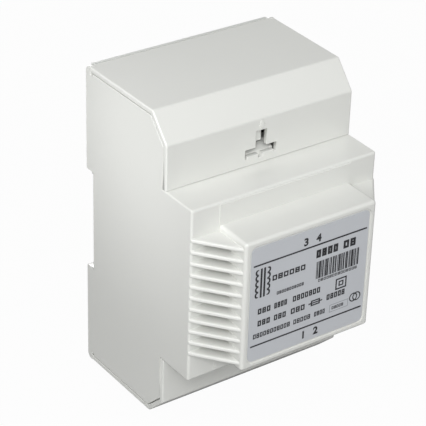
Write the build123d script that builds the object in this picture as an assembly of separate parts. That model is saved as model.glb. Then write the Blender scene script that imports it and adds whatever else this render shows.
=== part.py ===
# Safety transformer in a four-module housing for a 35 mm top-hat rail, in millimetres.
# X runs along the rail, the front faces -Y and +Z is up.
# The origin is the middle of the rail seat, where the rail's two lips touch the base.
import math
import os

from build123d import *

# Housing outline; the core inside gives the width, the tier's height and its front
SIDE_DRAFT = 0.5
BACK_Y = 3.7
BAY_HEIGHT = 23.8
UPPER_FRONT_Y = -40.5
CHAMFER_RUN = 7.6
CHAMFER_DROP = 8.6
LOWER_CHAMFER_DROP = 7.3
NOSE_SIDE_ROOM = 0.7
NOSE_END_ROOM = 4.2
NOSE_DEPTH = 13.6
REAR_CORNER_RADIUS = 2.0
TIER_EDGE_RADIUS = 0.8
TIER_SIDE_RADIUS = 0.5
NOSE_EDGE_RADIUS = 1.1
PANEL_RISE = 0.25
PANEL_MARGIN = 0.9

# Walls and fits
SHELL_WALL = 1.8
SIDE_WALL = 1.9
COVER_WALL = 1.6
COVER_GAP = 0.35
COVER_EDGE_RADIUS = 0.5
COVER_BEND_RADIUS = 1.2
SLIDE_CLEARANCE = 0.15
SEAT_GAP = 0.1
MERGE = 0.1
OVERCUT = 1.0

# Louvre fins beside the nose
FIN_COUNT = 11
FIN_END_ROOM = 2.5
FIN_THICKNESS = 1.4
FIN_EDGE_RADIUS = 0.6
FIN_SETBACK = 0.9
VENT_MARGIN = 0.2
VENT_START = 1.5
VENT_LENGTH = 4.9

# Rail and rail hooks
RAIL_HEIGHT = 35.0
RAIL_LIP = 1.0
RAIL_PLAY = 0.3
HOOK_OVERLAP = 2.3
SEAT_WALL = 2.4
BASE_WALL = 2.4
BASE_RIM_WALL = 1.2
BASE_RIM_HEIGHT = 4.5
BASE_FIT = 0.1
POST_DEPTH = 2.6
RELIEF_WIDTH = 1.1
RELIEF_DEPTH = 0.85

# Rail latch and its spring
LATCH_WIDTH = 14.0
LATCH_FLANGE = 1.0
LATCH_FLANGE_THICKNESS = 0.95
LATCH_THICKNESS = 2.2
LATCH_TAB = 4.0
LATCH_TAB_WIDTH = 10.0
LATCH_TRAVEL = 3.5
LATCH_FLOOR_WALL = 2.5
LATCH_RIB = 2.0
LATCH_WINDOW_DROP = 11.2
LATCH_BEVEL = 1.6
DRIVER_SLOT_WIDTH = 4.4
DRIVER_SLOT_HEIGHT = 1.4
SPRING_LENGTH = 14.4
SPRING_DIAMETER = 2.6
SPRING_WIRE = 0.5
SPRING_TURNS = 6
STOP_HEIGHT = 1.6
STOP_WIDTH = 3.2
LATCH_WINDOW_WIDTH = 3.8

# Terminal covers
SKIRT_WALL = 1.2
SKIRT_DEPTH = 3.6
TAB_SPACING = 40.0
TAB_WIDTH = 8.0
TAB_THICKNESS = 1.2
TAB_REACH = 0.8
TAB_ROOT = 5.0
ARM_WIDTH = 4.0
BAR_WIDTH = 11.6
BAR_HEIGHT = 2.35
BAR_LIFT = 3.2
NICK_WIDTH = 1.6
NICK_DEPTH = 1.3
END_NICK_WIDTH = 0.8
END_NICK_DEPTH = 0.7
TONGUE_WIDTH = 2.2
TONGUE_THICKNESS = 1.2
TONGUE_STANDOFF = 0.2
TONGUE_LIFT = 1.5
TONGUE_ROOT = 1.3
NIB_OVERLAP = 0.8
KNOCKOUT_DIAMETER = 8.0
KNOCKOUT_SPACING = 20.0
KNOCKOUT_Y = -14.0
KNOCKOUT_WEB = 0.6
ARROW_WIDTH = 2.6
ARROW_HEIGHT = 3.0
ARROW_RISE = 0.2
ARROW_GAP = 0.5
ARROW_STEM = 1.2
ARROW_TOP_GAP = 0.6

# Catch block of the housing behind each release window
CATCH_WIDTH = 11.4
CATCH_FRONT_HEIGHT = 3.3
CATCH_REAR_HEIGHT = 5.2
CATCH_DEPTH = 3.8

# Label
LABEL_RIM = 1.8
LABEL_RECESS = 0.4
LABEL_MARGIN = 0.6
LABEL_THICKNESS = 0.25
LABEL_CORNER = 2.4

# EI 66 core, 66 x 55 mm, the stack runs along Y
CORE_LEG = 22.0
CORE_YOKE = 11.0
CORE_WINDOW_WIDTH = 11.0
CORE_WINDOW_HEIGHT = 33.0
CORE_STACK = 34.7
CORE_SIDE_ROOM = 0.1
CORE_END_ROOM = 0.9
CORE_FRONT_ROOM = 3.5
CORE_HOLE_DIAMETER = 4.5
CORE_HOLE_INSET = 5.5
CORE_SCREW_DIAMETER = 3.8
CORE_SCREW_HEAD_DIAMETER = 7.5
CORE_SCREW_HEAD = 2.6
CORE_SCREW_CROWN = 0.8
CORE_SCREW_END_WALL = 0.9
CORE_BOSS_DIAMETER = 9.0

# Coil former and windings
FORMER_WALL = 1.0
FORMER_FIT = 0.15
FORMER_FLANGE = 1.0
FORMER_LIP = 0.5
FORMER_SIDE_FIT = 0.2
FORMER_BACK_ROOM = 1.3
COIL_ROOM = 1.2
TAPE_THICKNESS = 0.35
WINDING_CORNER = 4.0
PIN_DIAMETER = 1.2
PIN_LENGTH = 5.0
PIN_SPACING = 16.0
PIN_INSET = 3.0

# Base screws
BASE_SCREW_INSET = 4.6
BASE_SCREW_RISE = 5.8
BASE_SCREW_DIAMETER = 2.9
BASE_SCREW_HEAD_DIAMETER = 5.6
BASE_SCREW_HEAD = 1.3
BASE_SCREW_LENGTH = 12.0
BASE_BOSS_DIAMETER = 8.0
BASE_BOSS_LENGTH = 14.0
BASE_BOSS_RIB = 4.0

# Two-pole terminal blocks
POLE_PITCH = 11.0
BLOCK_SIDE_ROOM = 3.1
BLOCK_SETBACK = 7.2
BLOCK_DEPTH = 16.0
BLOCK_HEIGHT = 14.0
BLOCK_EDGE_RADIUS = 0.6
CAGE_WIDTH = 7.0
CAGE_DEPTH = 9.0
CAGE_HEIGHT = 6.5
CAGE_OPENING_X = 4.6
CAGE_OPENING_Y = 4.8
CAGE_REAR_WALL = 1.2
CAGE_LIFT = 2.8
CAGE_FIT = 0.2
CAGE_SETBACK = 3.5
WIRE_HOLE_DIAMETER = 3.5
WIRE_HOLE_LENGTH = 4.4
STRIP_WIDTH = 4.2
STRIP_THICKNESS = 1.0
STRIP_LIFT = 1.0
STRIP_TAG = 4.0
TERMINAL_SCREW_DIAMETER = 3.5
TERMINAL_HEAD_DIAMETER = 5.4
TERMINAL_HEAD = 2.0
TERMINAL_HEAD_RECESS = 0.5
TERMINAL_HEAD_CROWN = 0.5
DRIVE_SLOT = 0.9
DRIVE_REACH = 1.5
DRIVE_DEPTH = 0.8
THREAD_FIT = 0.05

# Fuse in the upper bay
FUSE_SIDE_ROOM = 3.6
FUSE_SETBACK = 15.5
FUSE_LENGTH = 20.0
FUSE_GLASS_DIAMETER = 5.0
FUSE_GLASS_WALL = 0.7
FUSE_CAP_DIAMETER = 5.3
FUSE_CAP_LENGTH = 5.0
FUSE_CAP_END = 0.4
CLIP_SHEET = 0.4
CLIP_LENGTH = 4.0
CLIP_GRIP = 80.0
CLIP_FOOT_OVERLAP = 0.5
PLINTH_HEIGHT = 2.4
PLINTH_MARGIN = 1.0

# Leads
LEAD_DIAMETER = 1.6
LEAD_HOLE_DIAMETER = 2.6
LEAD_BEND = 3.0
LINK_Y = -3.5
LEAD_CREST = 7.8
CREST_RUN = 7.8
LEAD_RISE = 4.0
LEAD_LEVEL_RUN = 5.5
SOLDER_OVERLAP = 0.5

# Worked-out widths and heights
CORE_WIDTH = CORE_LEG + 2 * (CORE_WINDOW_WIDTH + CORE_YOKE)
CORE_HEIGHT = CORE_WINDOW_HEIGHT + 2 * CORE_YOKE
INNER_X = CORE_WIDTH / 2 + CORE_SIDE_ROOM
WIDTH = 2 * (INNER_X + SIDE_WALL)
TIER_Z = CORE_HEIGHT / 2 + CORE_END_ROOM + SHELL_WALL
TOP_Z = TIER_Z + BAY_HEIGHT
RAIL_Z = RAIL_HEIGHT / 2 + RAIL_PLAY
NOSE_X = CORE_LEG / 2 + CORE_WINDOW_WIDTH + NOSE_SIDE_ROOM + SHELL_WALL
NOSE_Z = CORE_WINDOW_HEIGHT / 2 + NOSE_END_ROOM + SHELL_WALL
NOSE_WIDTH = 2 * NOSE_X
NOSE_HEIGHT = 2 * NOSE_Z
FIN_PITCH = (NOSE_HEIGHT - 2 * FIN_END_ROOM) / (FIN_COUNT - 1)
LATCH_WINDOW_TOP = -RAIL_Z - LATCH_WINDOW_DROP
BASE_SCREW_SPACING_X = 2 * (INNER_X - BASE_SCREW_INSET)
BASE_SCREW_SPACING_Z = 2 * (TIER_Z + BASE_SCREW_RISE)
BLOCK_OUTER_X = BLOCK_SIDE_ROOM - INNER_X
FUSE_CENTRE_X = INNER_X - FUSE_SIDE_ROOM - FUSE_LENGTH / 2

# Worked-out window of a cover, from its foot and from its chamfer
PLATE_TOP = TOP_Z - CHAMFER_DROP
BAR_BOTTOM = TIER_Z + BAR_LIFT
BAR_TOP = BAR_BOTTOM + BAR_HEIGHT
ARROW_FOOT = PLATE_TOP - ARROW_TOP_GAP - ARROW_HEIGHT
ARM_TOP = ARROW_FOOT - ARROW_GAP
TONGUE_FOOT = TIER_Z + CATCH_REAR_HEIGHT + TONGUE_LIFT
NIB_FOOT = TIER_Z + CATCH_REAR_HEIGHT - NIB_OVERLAP

# Worked-out depths, from the rail to the front
FORMER_SIDE = FORMER_FIT + FORMER_WALL
WINDING_BUILD = CORE_WINDOW_WIDTH - FORMER_SIDE - TAPE_THICKNESS - COIL_ROOM
FORMER_OVERHANG = FORMER_SIDE + WINDING_BUILD + TAPE_THICKNESS + FORMER_LIP
CORE_REAR_Y = -SEAT_WALL - FORMER_BACK_ROOM - FORMER_OVERHANG
HOOK_FRONT_Y = RAIL_LIP + RAIL_PLAY
HOOK_Z = RAIL_HEIGHT / 2 - HOOK_OVERLAP
WALL_FRONT_Y = BACK_Y - BASE_WALL
RIM_FRONT_Y = BACK_Y - BASE_RIM_WALL
POST_Y = BACK_Y - POST_DEPTH
CORE_FRONT_Y = CORE_REAR_Y - CORE_STACK
CORE_MID_Y = (CORE_REAR_Y + CORE_FRONT_Y) / 2
TIER_FRONT_Y = CORE_FRONT_Y - CORE_FRONT_ROOM - SHELL_WALL
NOSE_FRONT_Y = TIER_FRONT_Y - NOSE_DEPTH
CORE_SCREW_BITE = CORE_FRONT_ROOM + SHELL_WALL - CORE_SCREW_END_WALL
CHAMFER_START_Y = UPPER_FRONT_Y + CHAMFER_RUN
BLOCK_FRONT_Y = UPPER_FRONT_Y + BLOCK_SETBACK
FUSE_Y = UPPER_FRONT_Y + FUSE_SETBACK
COVER_REAR_Y = RIM_FRONT_Y - SLIDE_CLEARANCE
COVER_INNER_Y = UPPER_FRONT_Y + COVER_WALL
CATCH_FRONT_Y = COVER_INNER_Y + SLIDE_CLEARANCE
CATCH_REAR_Y = CATCH_FRONT_Y + CATCH_DEPTH


def block(x0, x1, y0, y1, z0, z1):
    """Rectangular solid between two corners."""
    centre = Pos((x0 + x1) / 2, (y0 + y1) / 2, (z0 + z1) / 2)
    return centre * Box(abs(x1 - x0), abs(y1 - y0), abs(z1 - z0))


def side_profile(points, x0, x1):
    """Closed outline of (y, z) points, carried along X from x0 to x1."""
    outline = Polyline(*[(x0, y, z) for y, z in points], close=True)
    return extrude(make_face(outline), amount=x1 - x0, dir=(1, 0, 0))


def plan_profile(points, z0, z1):
    """Closed outline of (x, y) points, carried up from z0 to z1."""
    outline = Polyline(*[(x, y, z0) for x, y in points], close=True)
    return extrude(make_face(outline), amount=z1 - z0, dir=(0, 0, 1))


def front_profile(points, y0, y1):
    """Closed outline of (x, z) points, carried along Y from y0 to y1."""
    outline = Polyline(*[(x, y0, z) for x, z in points], close=True)
    return extrude(make_face(outline), amount=y1 - y0, dir=(0, 1, 0))


def rod_y(x, z, radius, y0, y1):
    """Round bar along Y."""
    return Pos(x, (y0 + y1) / 2, z) * Rot(90, 0, 0) * Cylinder(radius, abs(y1 - y0))


def rod_x(y, z, radius, x0, x1):
    """Round bar along X."""
    return Pos((x0 + x1) / 2, y, z) * Rot(0, 90, 0) * Cylinder(radius, abs(x1 - x0))


def rod_z(x, y, radius, z0, z1):
    """Round bar along Z."""
    return Pos(x, y, (z0 + z1) / 2) * Cylinder(radius, abs(z1 - z0))


def rounded_plate(width, height, corner, y0, y1):
    """Rounded rectangle that faces the front, between two planes."""
    plate = extrude(RectangleRounded(width, height, corner), amount=abs(y1 - y0))
    return Pos(0, max(y0, y1), 0) * Rot(90, 0, 0) * plate


def rounded_ring(inner_x, inner_y, build, corner, z0, z1):
    """Wound ring about the core's middle leg, between two heights."""
    outer = RectangleRounded(inner_x + 2 * build, inner_y + 2 * build, corner + build / 2)
    inner = Rectangle(inner_x, inner_y)
    return Pos(0, CORE_MID_Y, z0) * extrude(outer - inner, amount=z1 - z0)


def upside_down(shape):
    """Copy for the lower bay, mirrored in the plane through the rail's middle."""
    return mirror(shape, about=Plane.XY)


def half_width_at(y):
    """Half the drafted width at a depth; the back plane has the full width."""
    return WIDTH / 2 - (BACK_Y - y) * math.tan(math.radians(SIDE_DRAFT))


def drafted_block():
    """Wedge that gives every outer side face its draft."""
    front_y = NOSE_FRONT_Y - OVERCUT
    back_x = half_width_at(BACK_Y)
    front_x = half_width_at(front_y)
    corners = [(-back_x, BACK_Y), (back_x, BACK_Y), (front_x, front_y), (-front_x, front_y)]
    return plan_profile(corners, -TOP_Z - OVERCUT, TOP_Z + OVERCUT)


def cover_line(inset, rear_y, foot_z, drop):
    """Outline of a cover in (y, z) from the back to the tier, moved inwards by inset."""
    first_turn = math.atan2(drop, CHAMFER_RUN)
    second_turn = math.pi / 2 - first_turn
    chamfer_top = (CHAMFER_START_Y + inset * math.tan(first_turn / 2), TOP_Z - inset)
    front_z = TOP_Z - drop - inset * math.tan(second_turn / 2)
    front_y = UPPER_FRONT_Y + inset
    return [(rear_y, TOP_Z - inset), chamfer_top, (front_y, front_z), (front_y, foot_z)]


def housing_outline(drop):
    """Upper half of the housing's outline in (y, z), from the rail notch to the tier's front."""
    wall_top = TOP_Z - COVER_WALL - COVER_GAP
    rim = cover_line(COVER_WALL + COVER_GAP, POST_Y - RELIEF_WIDTH, TIER_Z, drop)
    outline = [(0, RAIL_Z), (BACK_Y, RAIL_Z), (BACK_Y, TOP_Z), (POST_Y, TOP_Z)]
    outline += [(POST_Y, wall_top - RELIEF_DEPTH), (POST_Y - RELIEF_WIDTH, wall_top - RELIEF_DEPTH)]
    return outline + rim + [(TIER_FRONT_Y, TIER_Z)]


def corner_places(spacing_x, spacing_z):
    """Four (x, z) places of a rectangle about the origin."""
    return [(sx * spacing_x / 2, sz * spacing_z / 2) for sx in (-1, 1) for sz in (-1, 1)]


def core_hole_places():
    """Corner holes of the laminations."""
    return corner_places(CORE_WIDTH - 2 * CORE_HOLE_INSET, CORE_HEIGHT - 2 * CORE_HOLE_INSET)


def pole_places():
    """X of the two poles of a terminal block."""
    return [BLOCK_OUTER_X + POLE_PITCH * (i + 0.5) for i in range(2)]


def pin_places():
    """X of the two pins on a flange of the coil former."""
    return [-PIN_SPACING / 2, PIN_SPACING / 2]


def pin_y():
    """Y of the coil pins, at the rear of the former."""
    return CORE_MID_Y + CORE_STACK / 2 + FORMER_OVERHANG - PIN_INSET


# Housing

def housing_outside():
    """Side walls and middle tier as one drafted solid, with the rail notch and the corner posts."""
    lower = [(y, -z) for y, z in reversed(housing_outline(LOWER_CHAMFER_DROP))]
    outline = housing_outline(CHAMFER_DROP) + lower
    body = side_profile(outline, -WIDTH / 2 - OVERCUT, WIDTH / 2 + OVERCUT)
    rear = [e for e in body.edges().filter_by(Axis.X) if abs(abs(e.center().Z) - TOP_Z) < 0.01]
    body = fillet([e for e in rear if abs(e.center().Y - BACK_Y) < 0.01], REAR_CORNER_RADIUS)
    body = body & drafted_block()
    tier = [e for e in body.edges() if abs(abs(e.center().Z) - TIER_Z) < 0.01]
    body = fillet([e for e in tier if abs(e.center().X) > INNER_X], TIER_SIDE_RADIUS)
    front = [e for e in body.edges() if abs(e.center().Y - TIER_FRONT_Y) < 0.01]
    return fillet(front, TIER_EDGE_RADIUS)


def nose_outside():
    """Label nose with rounded front and corner edges."""
    nose = block(-NOSE_X, NOSE_X, NOSE_FRONT_Y, TIER_FRONT_Y + SHELL_WALL / 2, -NOSE_Z, NOSE_Z)
    rear_face = nose.faces().sort_by(Axis.Y)[-1]
    kept = [e.center() for e in rear_face.edges()]
    edges = [e for e in nose.edges() if all((e.center() - c).length > 0.01 for c in kept)]
    return fillet(edges, NOSE_EDGE_RADIUS)


def fin(side, z):
    """One louvre fin, a triangle in plan between the tier's front and the nose's side."""
    tip_x = half_width_at(TIER_FRONT_Y)
    root_x = NOSE_X - SHELL_WALL / 2
    root_y = TIER_FRONT_Y + SHELL_WALL / 2
    nose_y = NOSE_FRONT_Y + FIN_SETBACK
    slope = [(tip_x, TIER_FRONT_Y), (NOSE_X, nose_y)]
    plan = [(root_x, root_y), (tip_x, root_y)] + slope + [(root_x, nose_y)]
    half = FIN_THICKNESS / 2
    blade = plan_profile([(side * x, y) for x, y in plan], z - half, z + half)
    middle = Vector(side * (tip_x + NOSE_X) / 2, (TIER_FRONT_Y + nose_y) / 2, z)
    rims = [e for e in blade.edges() if abs((e.center() - middle).length - half) < 0.01]
    return fillet(rims, FIN_EDGE_RADIUS)


def vent(side, z):
    """Slot through the nose's side wall between two fins."""
    inner_x = side * (NOSE_X - 2 * SHELL_WALL)
    outer_x = side * (NOSE_X + OVERCUT)
    half = (FIN_PITCH - FIN_THICKNESS) / 2 - VENT_MARGIN
    rear_y = TIER_FRONT_Y - VENT_START
    return block(inner_x, outer_x, rear_y - VENT_LENGTH, rear_y, z - half, z + half)


def catch_block():
    """Sloped block that the tongue of a cover hooks behind."""
    profile = [
        (CATCH_FRONT_Y, TIER_Z - SHELL_WALL / 2),
        (CATCH_FRONT_Y, TIER_Z + CATCH_FRONT_HEIGHT),
        (CATCH_REAR_Y, TIER_Z + CATCH_REAR_HEIGHT),
        (CATCH_REAR_Y, TIER_Z - SHELL_WALL / 2),
    ]
    return side_profile(profile, -CATCH_WIDTH / 2, CATCH_WIDTH / 2)


def base_boss(x, z):
    """Boss for a base screw, webbed to the side wall."""
    side = math.copysign(1, x)
    y0 = WALL_FRONT_Y - BASE_BOSS_LENGTH
    boss = rod_y(x, z, BASE_BOSS_DIAMETER / 2, y0, WALL_FRONT_Y)
    wall_x = side * (INNER_X + SHELL_WALL / 2)
    return boss + block(x, wall_x, y0, WALL_FRONT_Y, z - BASE_BOSS_RIB / 2, z + BASE_BOSS_RIB / 2)


def fuse_plinth():
    """Raised pad of the upper partition under the fuse clips."""
    half = FUSE_LENGTH / 2 + PLINTH_MARGIN
    depth = FUSE_CAP_DIAMETER / 2 + PLINTH_MARGIN
    x0 = FUSE_CENTRE_X - half
    x1 = FUSE_CENTRE_X + half
    foot_z = TIER_Z - SHELL_WALL / 2
    return block(x0, x1, FUSE_Y - depth, FUSE_Y + depth, foot_z, TIER_Z + PLINTH_HEIGHT)


def channel_half_width():
    """Half the width of the base's ribs beside the latch."""
    return LATCH_WIDTH / 2 + LATCH_FLANGE + LATCH_RIB


def channel_front_y():
    """Front face of the base's floor behind the latch."""
    return latch_floor_y() - LATCH_FLOOR_WALL


def channel_notch():
    """Room in the lower partition for the base's latch channel."""
    half = channel_half_width() + SLIDE_CLEARANCE
    y0 = channel_front_y() - SLIDE_CLEARANCE
    return block(-half, half, y0, BACK_Y, -TIER_Z - OVERCUT, -TIER_Z + SHELL_WALL + OVERCUT)


def lead_holes():
    """Holes through both partitions where the leads rise from the coil."""
    holes = []
    for x in pin_places():
        for sign in (-1, 1):
            z0 = sign * (TIER_Z - SHELL_WALL - OVERCUT)
            z1 = sign * (TIER_Z + OVERCUT)
            holes.append(rod_z(x, pin_y(), LEAD_HOLE_DIAMETER / 2, z0, z1))
    return holes


def make_housing():
    body = housing_outside() + nose_outside()
    for sign in (-1, 1):
        z0 = sign * (NOSE_Z - SHELL_WALL / 2)
        z1 = sign * (TIER_Z - PANEL_MARGIN)
        panel_y = TIER_FRONT_Y - PANEL_RISE
        body += block(-NOSE_X, NOSE_X, panel_y, TIER_FRONT_Y + SHELL_WALL / 2, z0, z1)
    fin_heights = [FIN_PITCH * (i - (FIN_COUNT - 1) / 2) for i in range(FIN_COUNT)]
    body += [fin(side, z) for side in (-1, 1) for z in fin_heights]

    tier_inner_y = TIER_FRONT_Y + SHELL_WALL
    tier_inner_z = TIER_Z - SHELL_WALL
    nose_inner_x = NOSE_X - SHELL_WALL
    nose_inner_z = NOSE_Z - SHELL_WALL
    nose_inner_y = NOSE_FRONT_Y + SHELL_WALL
    nose_rear_y = tier_inner_y + OVERCUT
    back = BACK_Y + OVERCUT
    above = TOP_Z + OVERCUT
    body -= block(-INNER_X, INNER_X, tier_inner_y, back, -tier_inner_z, tier_inner_z)
    body -= block(-nose_inner_x, nose_inner_x, nose_inner_y, nose_rear_y, -nose_inner_z, nose_inner_z)
    for sign in (-1, 1):
        body -= block(-INNER_X, INNER_X, UPPER_FRONT_Y, back, sign * TIER_Z, sign * above)
    body -= block(-INNER_X, INNER_X, WALL_FRONT_Y, back, -above, above)
    body -= [vent(side, z + FIN_PITCH / 2) for side in (-1, 1) for z in fin_heights[:-1]]

    body += catch_block() + upside_down(catch_block()) + fuse_plinth()
    body += [base_boss(x, z) for x, z in corner_places(BASE_SCREW_SPACING_X, BASE_SCREW_SPACING_Z)]
    for x, z in core_hole_places():
        body += rod_y(x, z, CORE_BOSS_DIAMETER / 2, CORE_FRONT_Y, TIER_FRONT_Y + SHELL_WALL / 2)
    body = body & drafted_block()

    for x, z in core_hole_places():
        body -= rod_y(x, z, CORE_SCREW_DIAMETER / 2, CORE_FRONT_Y - CORE_SCREW_BITE, CORE_FRONT_Y + OVERCUT)
    for x, z in corner_places(BASE_SCREW_SPACING_X, BASE_SCREW_SPACING_Z):
        end_y = BACK_Y - BASE_SCREW_LENGTH
        body -= rod_y(x, z, BASE_SCREW_DIAMETER / 2, end_y, WALL_FRONT_Y + OVERCUT)
    body -= lead_holes()
    body -= channel_notch()
    recess_width = NOSE_WIDTH - 2 * LABEL_RIM
    recess_height = NOSE_HEIGHT - 2 * LABEL_RIM
    recess_y = NOSE_FRONT_Y + LABEL_RECESS
    front_y = NOSE_FRONT_Y - OVERCUT
    return body - rounded_plate(recess_width, recess_height, LABEL_CORNER, front_y, recess_y)


def make_label():
    margin = LABEL_RIM + LABEL_MARGIN
    y1 = NOSE_FRONT_Y + LABEL_RECESS
    y0 = y1 - LABEL_THICKNESS
    corner = LABEL_CORNER - LABEL_MARGIN
    return rounded_plate(NOSE_WIDTH - 2 * margin, NOSE_HEIGHT - 2 * margin, corner, y0, y1)


# Rear base with the rail seat

def latch_floor_y():
    """Floor of the latch channel."""
    return HOOK_FRONT_Y - SLIDE_CLEARANCE


def stop_top_z():
    """Top of the base's stop, where the spring stands."""
    return LATCH_WINDOW_TOP - SPRING_LENGTH


def latch_channel():
    """Undercut channel of the latch, open to the back and at both ends."""
    half = LATCH_WIDTH / 2 + SLIDE_CLEARANCE
    floor = latch_floor_y()
    lip_y = HOOK_FRONT_Y + LATCH_FLANGE_THICKNESS + SLIDE_CLEARANCE
    z0 = -TOP_Z - OVERCUT
    z1 = -RAIL_Z + OVERCUT
    wide = half + LATCH_FLANGE
    return block(-half, half, floor, BACK_Y + OVERCUT, z0, z1) + block(-wide, wide, floor, lip_y, z0, z1)


def make_rear_base():
    step_z = RAIL_Z + BASE_WALL
    rim_z = TOP_Z - BASE_RIM_HEIGHT
    half = INNER_X - BASE_FIT
    outline = [
        (BACK_Y, -TOP_Z), (BACK_Y, -RAIL_Z), (0, -RAIL_Z), (0, RAIL_Z),
        (HOOK_FRONT_Y, RAIL_Z), (HOOK_FRONT_Y, HOOK_Z), (BACK_Y, HOOK_Z), (BACK_Y, TOP_Z),
        (RIM_FRONT_Y, TOP_Z), (RIM_FRONT_Y, rim_z), (WALL_FRONT_Y, rim_z), (WALL_FRONT_Y, step_z),
        (-SEAT_WALL, step_z), (-SEAT_WALL, -step_z), (WALL_FRONT_Y, -step_z), (WALL_FRONT_Y, -rim_z),
        (RIM_FRONT_Y, -rim_z), (RIM_FRONT_Y, -TOP_Z),
    ]
    base = side_profile(outline, -half, half)
    rib_half = channel_half_width()
    rib_y = channel_front_y()
    base += block(-rib_half, rib_half, rib_y, BACK_Y, -TOP_Z, -step_z + MERGE)
    base -= latch_channel()

    stop_z = stop_top_z()
    groove_y = HOOK_FRONT_Y + LATCH_THICKNESS / 2 - SPRING_DIAMETER / 2 - SLIDE_CLEARANCE
    groove_half = SPRING_DIAMETER / 2 + SLIDE_CLEARANCE
    base -= block(-groove_half, groove_half, groove_y, BACK_Y, stop_z, LATCH_WINDOW_TOP)
    stop_y = HOOK_FRONT_Y + LATCH_THICKNESS
    stop_root = latch_floor_y() - LATCH_FLOOR_WALL / 2
    base += block(-STOP_WIDTH / 2, STOP_WIDTH / 2, stop_root, stop_y, stop_z - STOP_HEIGHT, stop_z)

    for x, z in corner_places(BASE_SCREW_SPACING_X, BASE_SCREW_SPACING_Z):
        base -= screw_cutter(x, z)
    for x in (-TAB_SPACING / 2, TAB_SPACING / 2):
        slot_half = TAB_WIDTH / 2 + SLIDE_CLEARANCE
        slot_top = TOP_Z - COVER_WALL + SLIDE_CLEARANCE
        slot_foot = TOP_Z - COVER_WALL - TAB_THICKNESS - SLIDE_CLEARANCE
        slot = block(x - slot_half, x + slot_half, WALL_FRONT_Y, BACK_Y + OVERCUT, slot_foot, slot_top)
        base = base - slot - upside_down(slot)
    return base


def countersunk(x, z, clearance, end_y):
    """Countersunk head and shank of a base screw, grown by a clearance, down to end_y."""
    shank_radius = BASE_SCREW_DIAMETER / 2 + clearance
    head = Cone(shank_radius, BASE_SCREW_HEAD_DIAMETER / 2 + clearance, BASE_SCREW_HEAD)
    sunk = Pos(x, BACK_Y - BASE_SCREW_HEAD / 2, z) * Rot(-90, 0, 0) * head
    return sunk + rod_y(x, z, shank_radius, end_y, BACK_Y - BASE_SCREW_HEAD)


def screw_cutter(x, z):
    """Clearance hole and countersink of a base screw."""
    return countersunk(x, z, SLIDE_CLEARANCE, WALL_FRONT_Y - OVERCUT)


def base_screw(x, z):
    return countersunk(x, z, 0, BACK_Y - BASE_SCREW_LENGTH) - cross_drive(x, z, BACK_Y, -1)


def cross_drive(x, z, face_y, inwards):
    """Cross recess in a screw head; inwards is the sign of Y into the head."""
    reach = DRIVE_REACH
    half = DRIVE_SLOT / 2
    y1 = face_y + inwards * DRIVE_DEPTH
    flat = block(x - reach, x + reach, face_y, y1, z - half, z + half)
    return flat + block(x - half, x + half, face_y, y1, z - reach, z + reach)


def make_latch():
    """Sliding lower hook: T section in its channel, window for the spring, tab for the screwdriver."""
    half = LATCH_WIDTH / 2
    y0 = HOOK_FRONT_Y
    y1 = HOOK_FRONT_Y + LATCH_THICKNESS
    bottom_z = -TOP_Z - LATCH_TAB
    profile = [(y0, bottom_z), (y0, -HOOK_Z), (y1 - LATCH_BEVEL, -HOOK_Z), (y1, -HOOK_Z - LATCH_BEVEL)]
    profile += [(y1, bottom_z)]
    latch = side_profile(profile, -half, half)
    wide = half + LATCH_FLANGE - SLIDE_CLEARANCE
    flange_y = y0 + LATCH_FLANGE_THICKNESS
    latch += block(-wide, wide, y0, flange_y, -TOP_Z + LATCH_TRAVEL, -RAIL_Z - SEAT_GAP)
    front = y0 - OVERCUT
    rear = y1 + OVERCUT
    for side in (-1, 1):
        x0 = side * LATCH_TAB_WIDTH / 2
        x1 = side * (wide + OVERCUT)
        latch -= block(x0, x1, front, rear, bottom_z - OVERCUT, -TOP_Z - SEAT_GAP)
    slot_z = bottom_z + DRIVER_SLOT_HEIGHT
    slot_half = DRIVER_SLOT_WIDTH / 2
    latch -= block(-slot_half, slot_half, front, rear, slot_z, slot_z + DRIVER_SLOT_HEIGHT)
    window_foot = stop_top_z() - STOP_HEIGHT - SLIDE_CLEARANCE
    window_half = LATCH_WINDOW_WIDTH / 2
    return latch - block(-window_half, window_half, front, rear, window_foot, LATCH_WINDOW_TOP)


def make_latch_spring():
    """Compression spring between the base's stop and the top of the latch's window."""
    coil_radius = (SPRING_DIAMETER - SPRING_WIRE) / 2
    height = SPRING_LENGTH - SPRING_WIRE
    path = Helix(pitch=height / SPRING_TURNS, height=height, radius=coil_radius)
    section = Plane(path @ 0, z_dir=path % 0) * Circle(SPRING_WIRE / 2)
    coil = sweep(section, path=path, is_frenet=True)
    centre_y = HOOK_FRONT_Y + LATCH_THICKNESS / 2
    return Pos(0, centre_y, stop_top_z() + SPRING_WIRE / 2) * coil


# Terminal covers

def release_window():
    """T-shaped opening in the cover's front plate with three nicks under its bar."""
    y0 = UPPER_FRONT_Y - OVERCUT
    y1 = COVER_INNER_Y + MERGE
    window = block(-BAR_WIDTH / 2, BAR_WIDTH / 2, y0, y1, BAR_BOTTOM, BAR_TOP)
    window += block(-ARM_WIDTH / 2, ARM_WIDTH / 2, y0, y1, BAR_TOP, ARM_TOP)
    for side in (-1, 1):
        end_x = side * BAR_WIDTH / 2
        inner_x = end_x - side * END_NICK_WIDTH
        window += block(inner_x, end_x, y0, y1, BAR_BOTTOM - END_NICK_DEPTH, BAR_BOTTOM)
    return window + block(-NICK_WIDTH / 2, NICK_WIDTH / 2, y0, y1, BAR_BOTTOM - NICK_DEPTH, BAR_BOTTOM)


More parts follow.
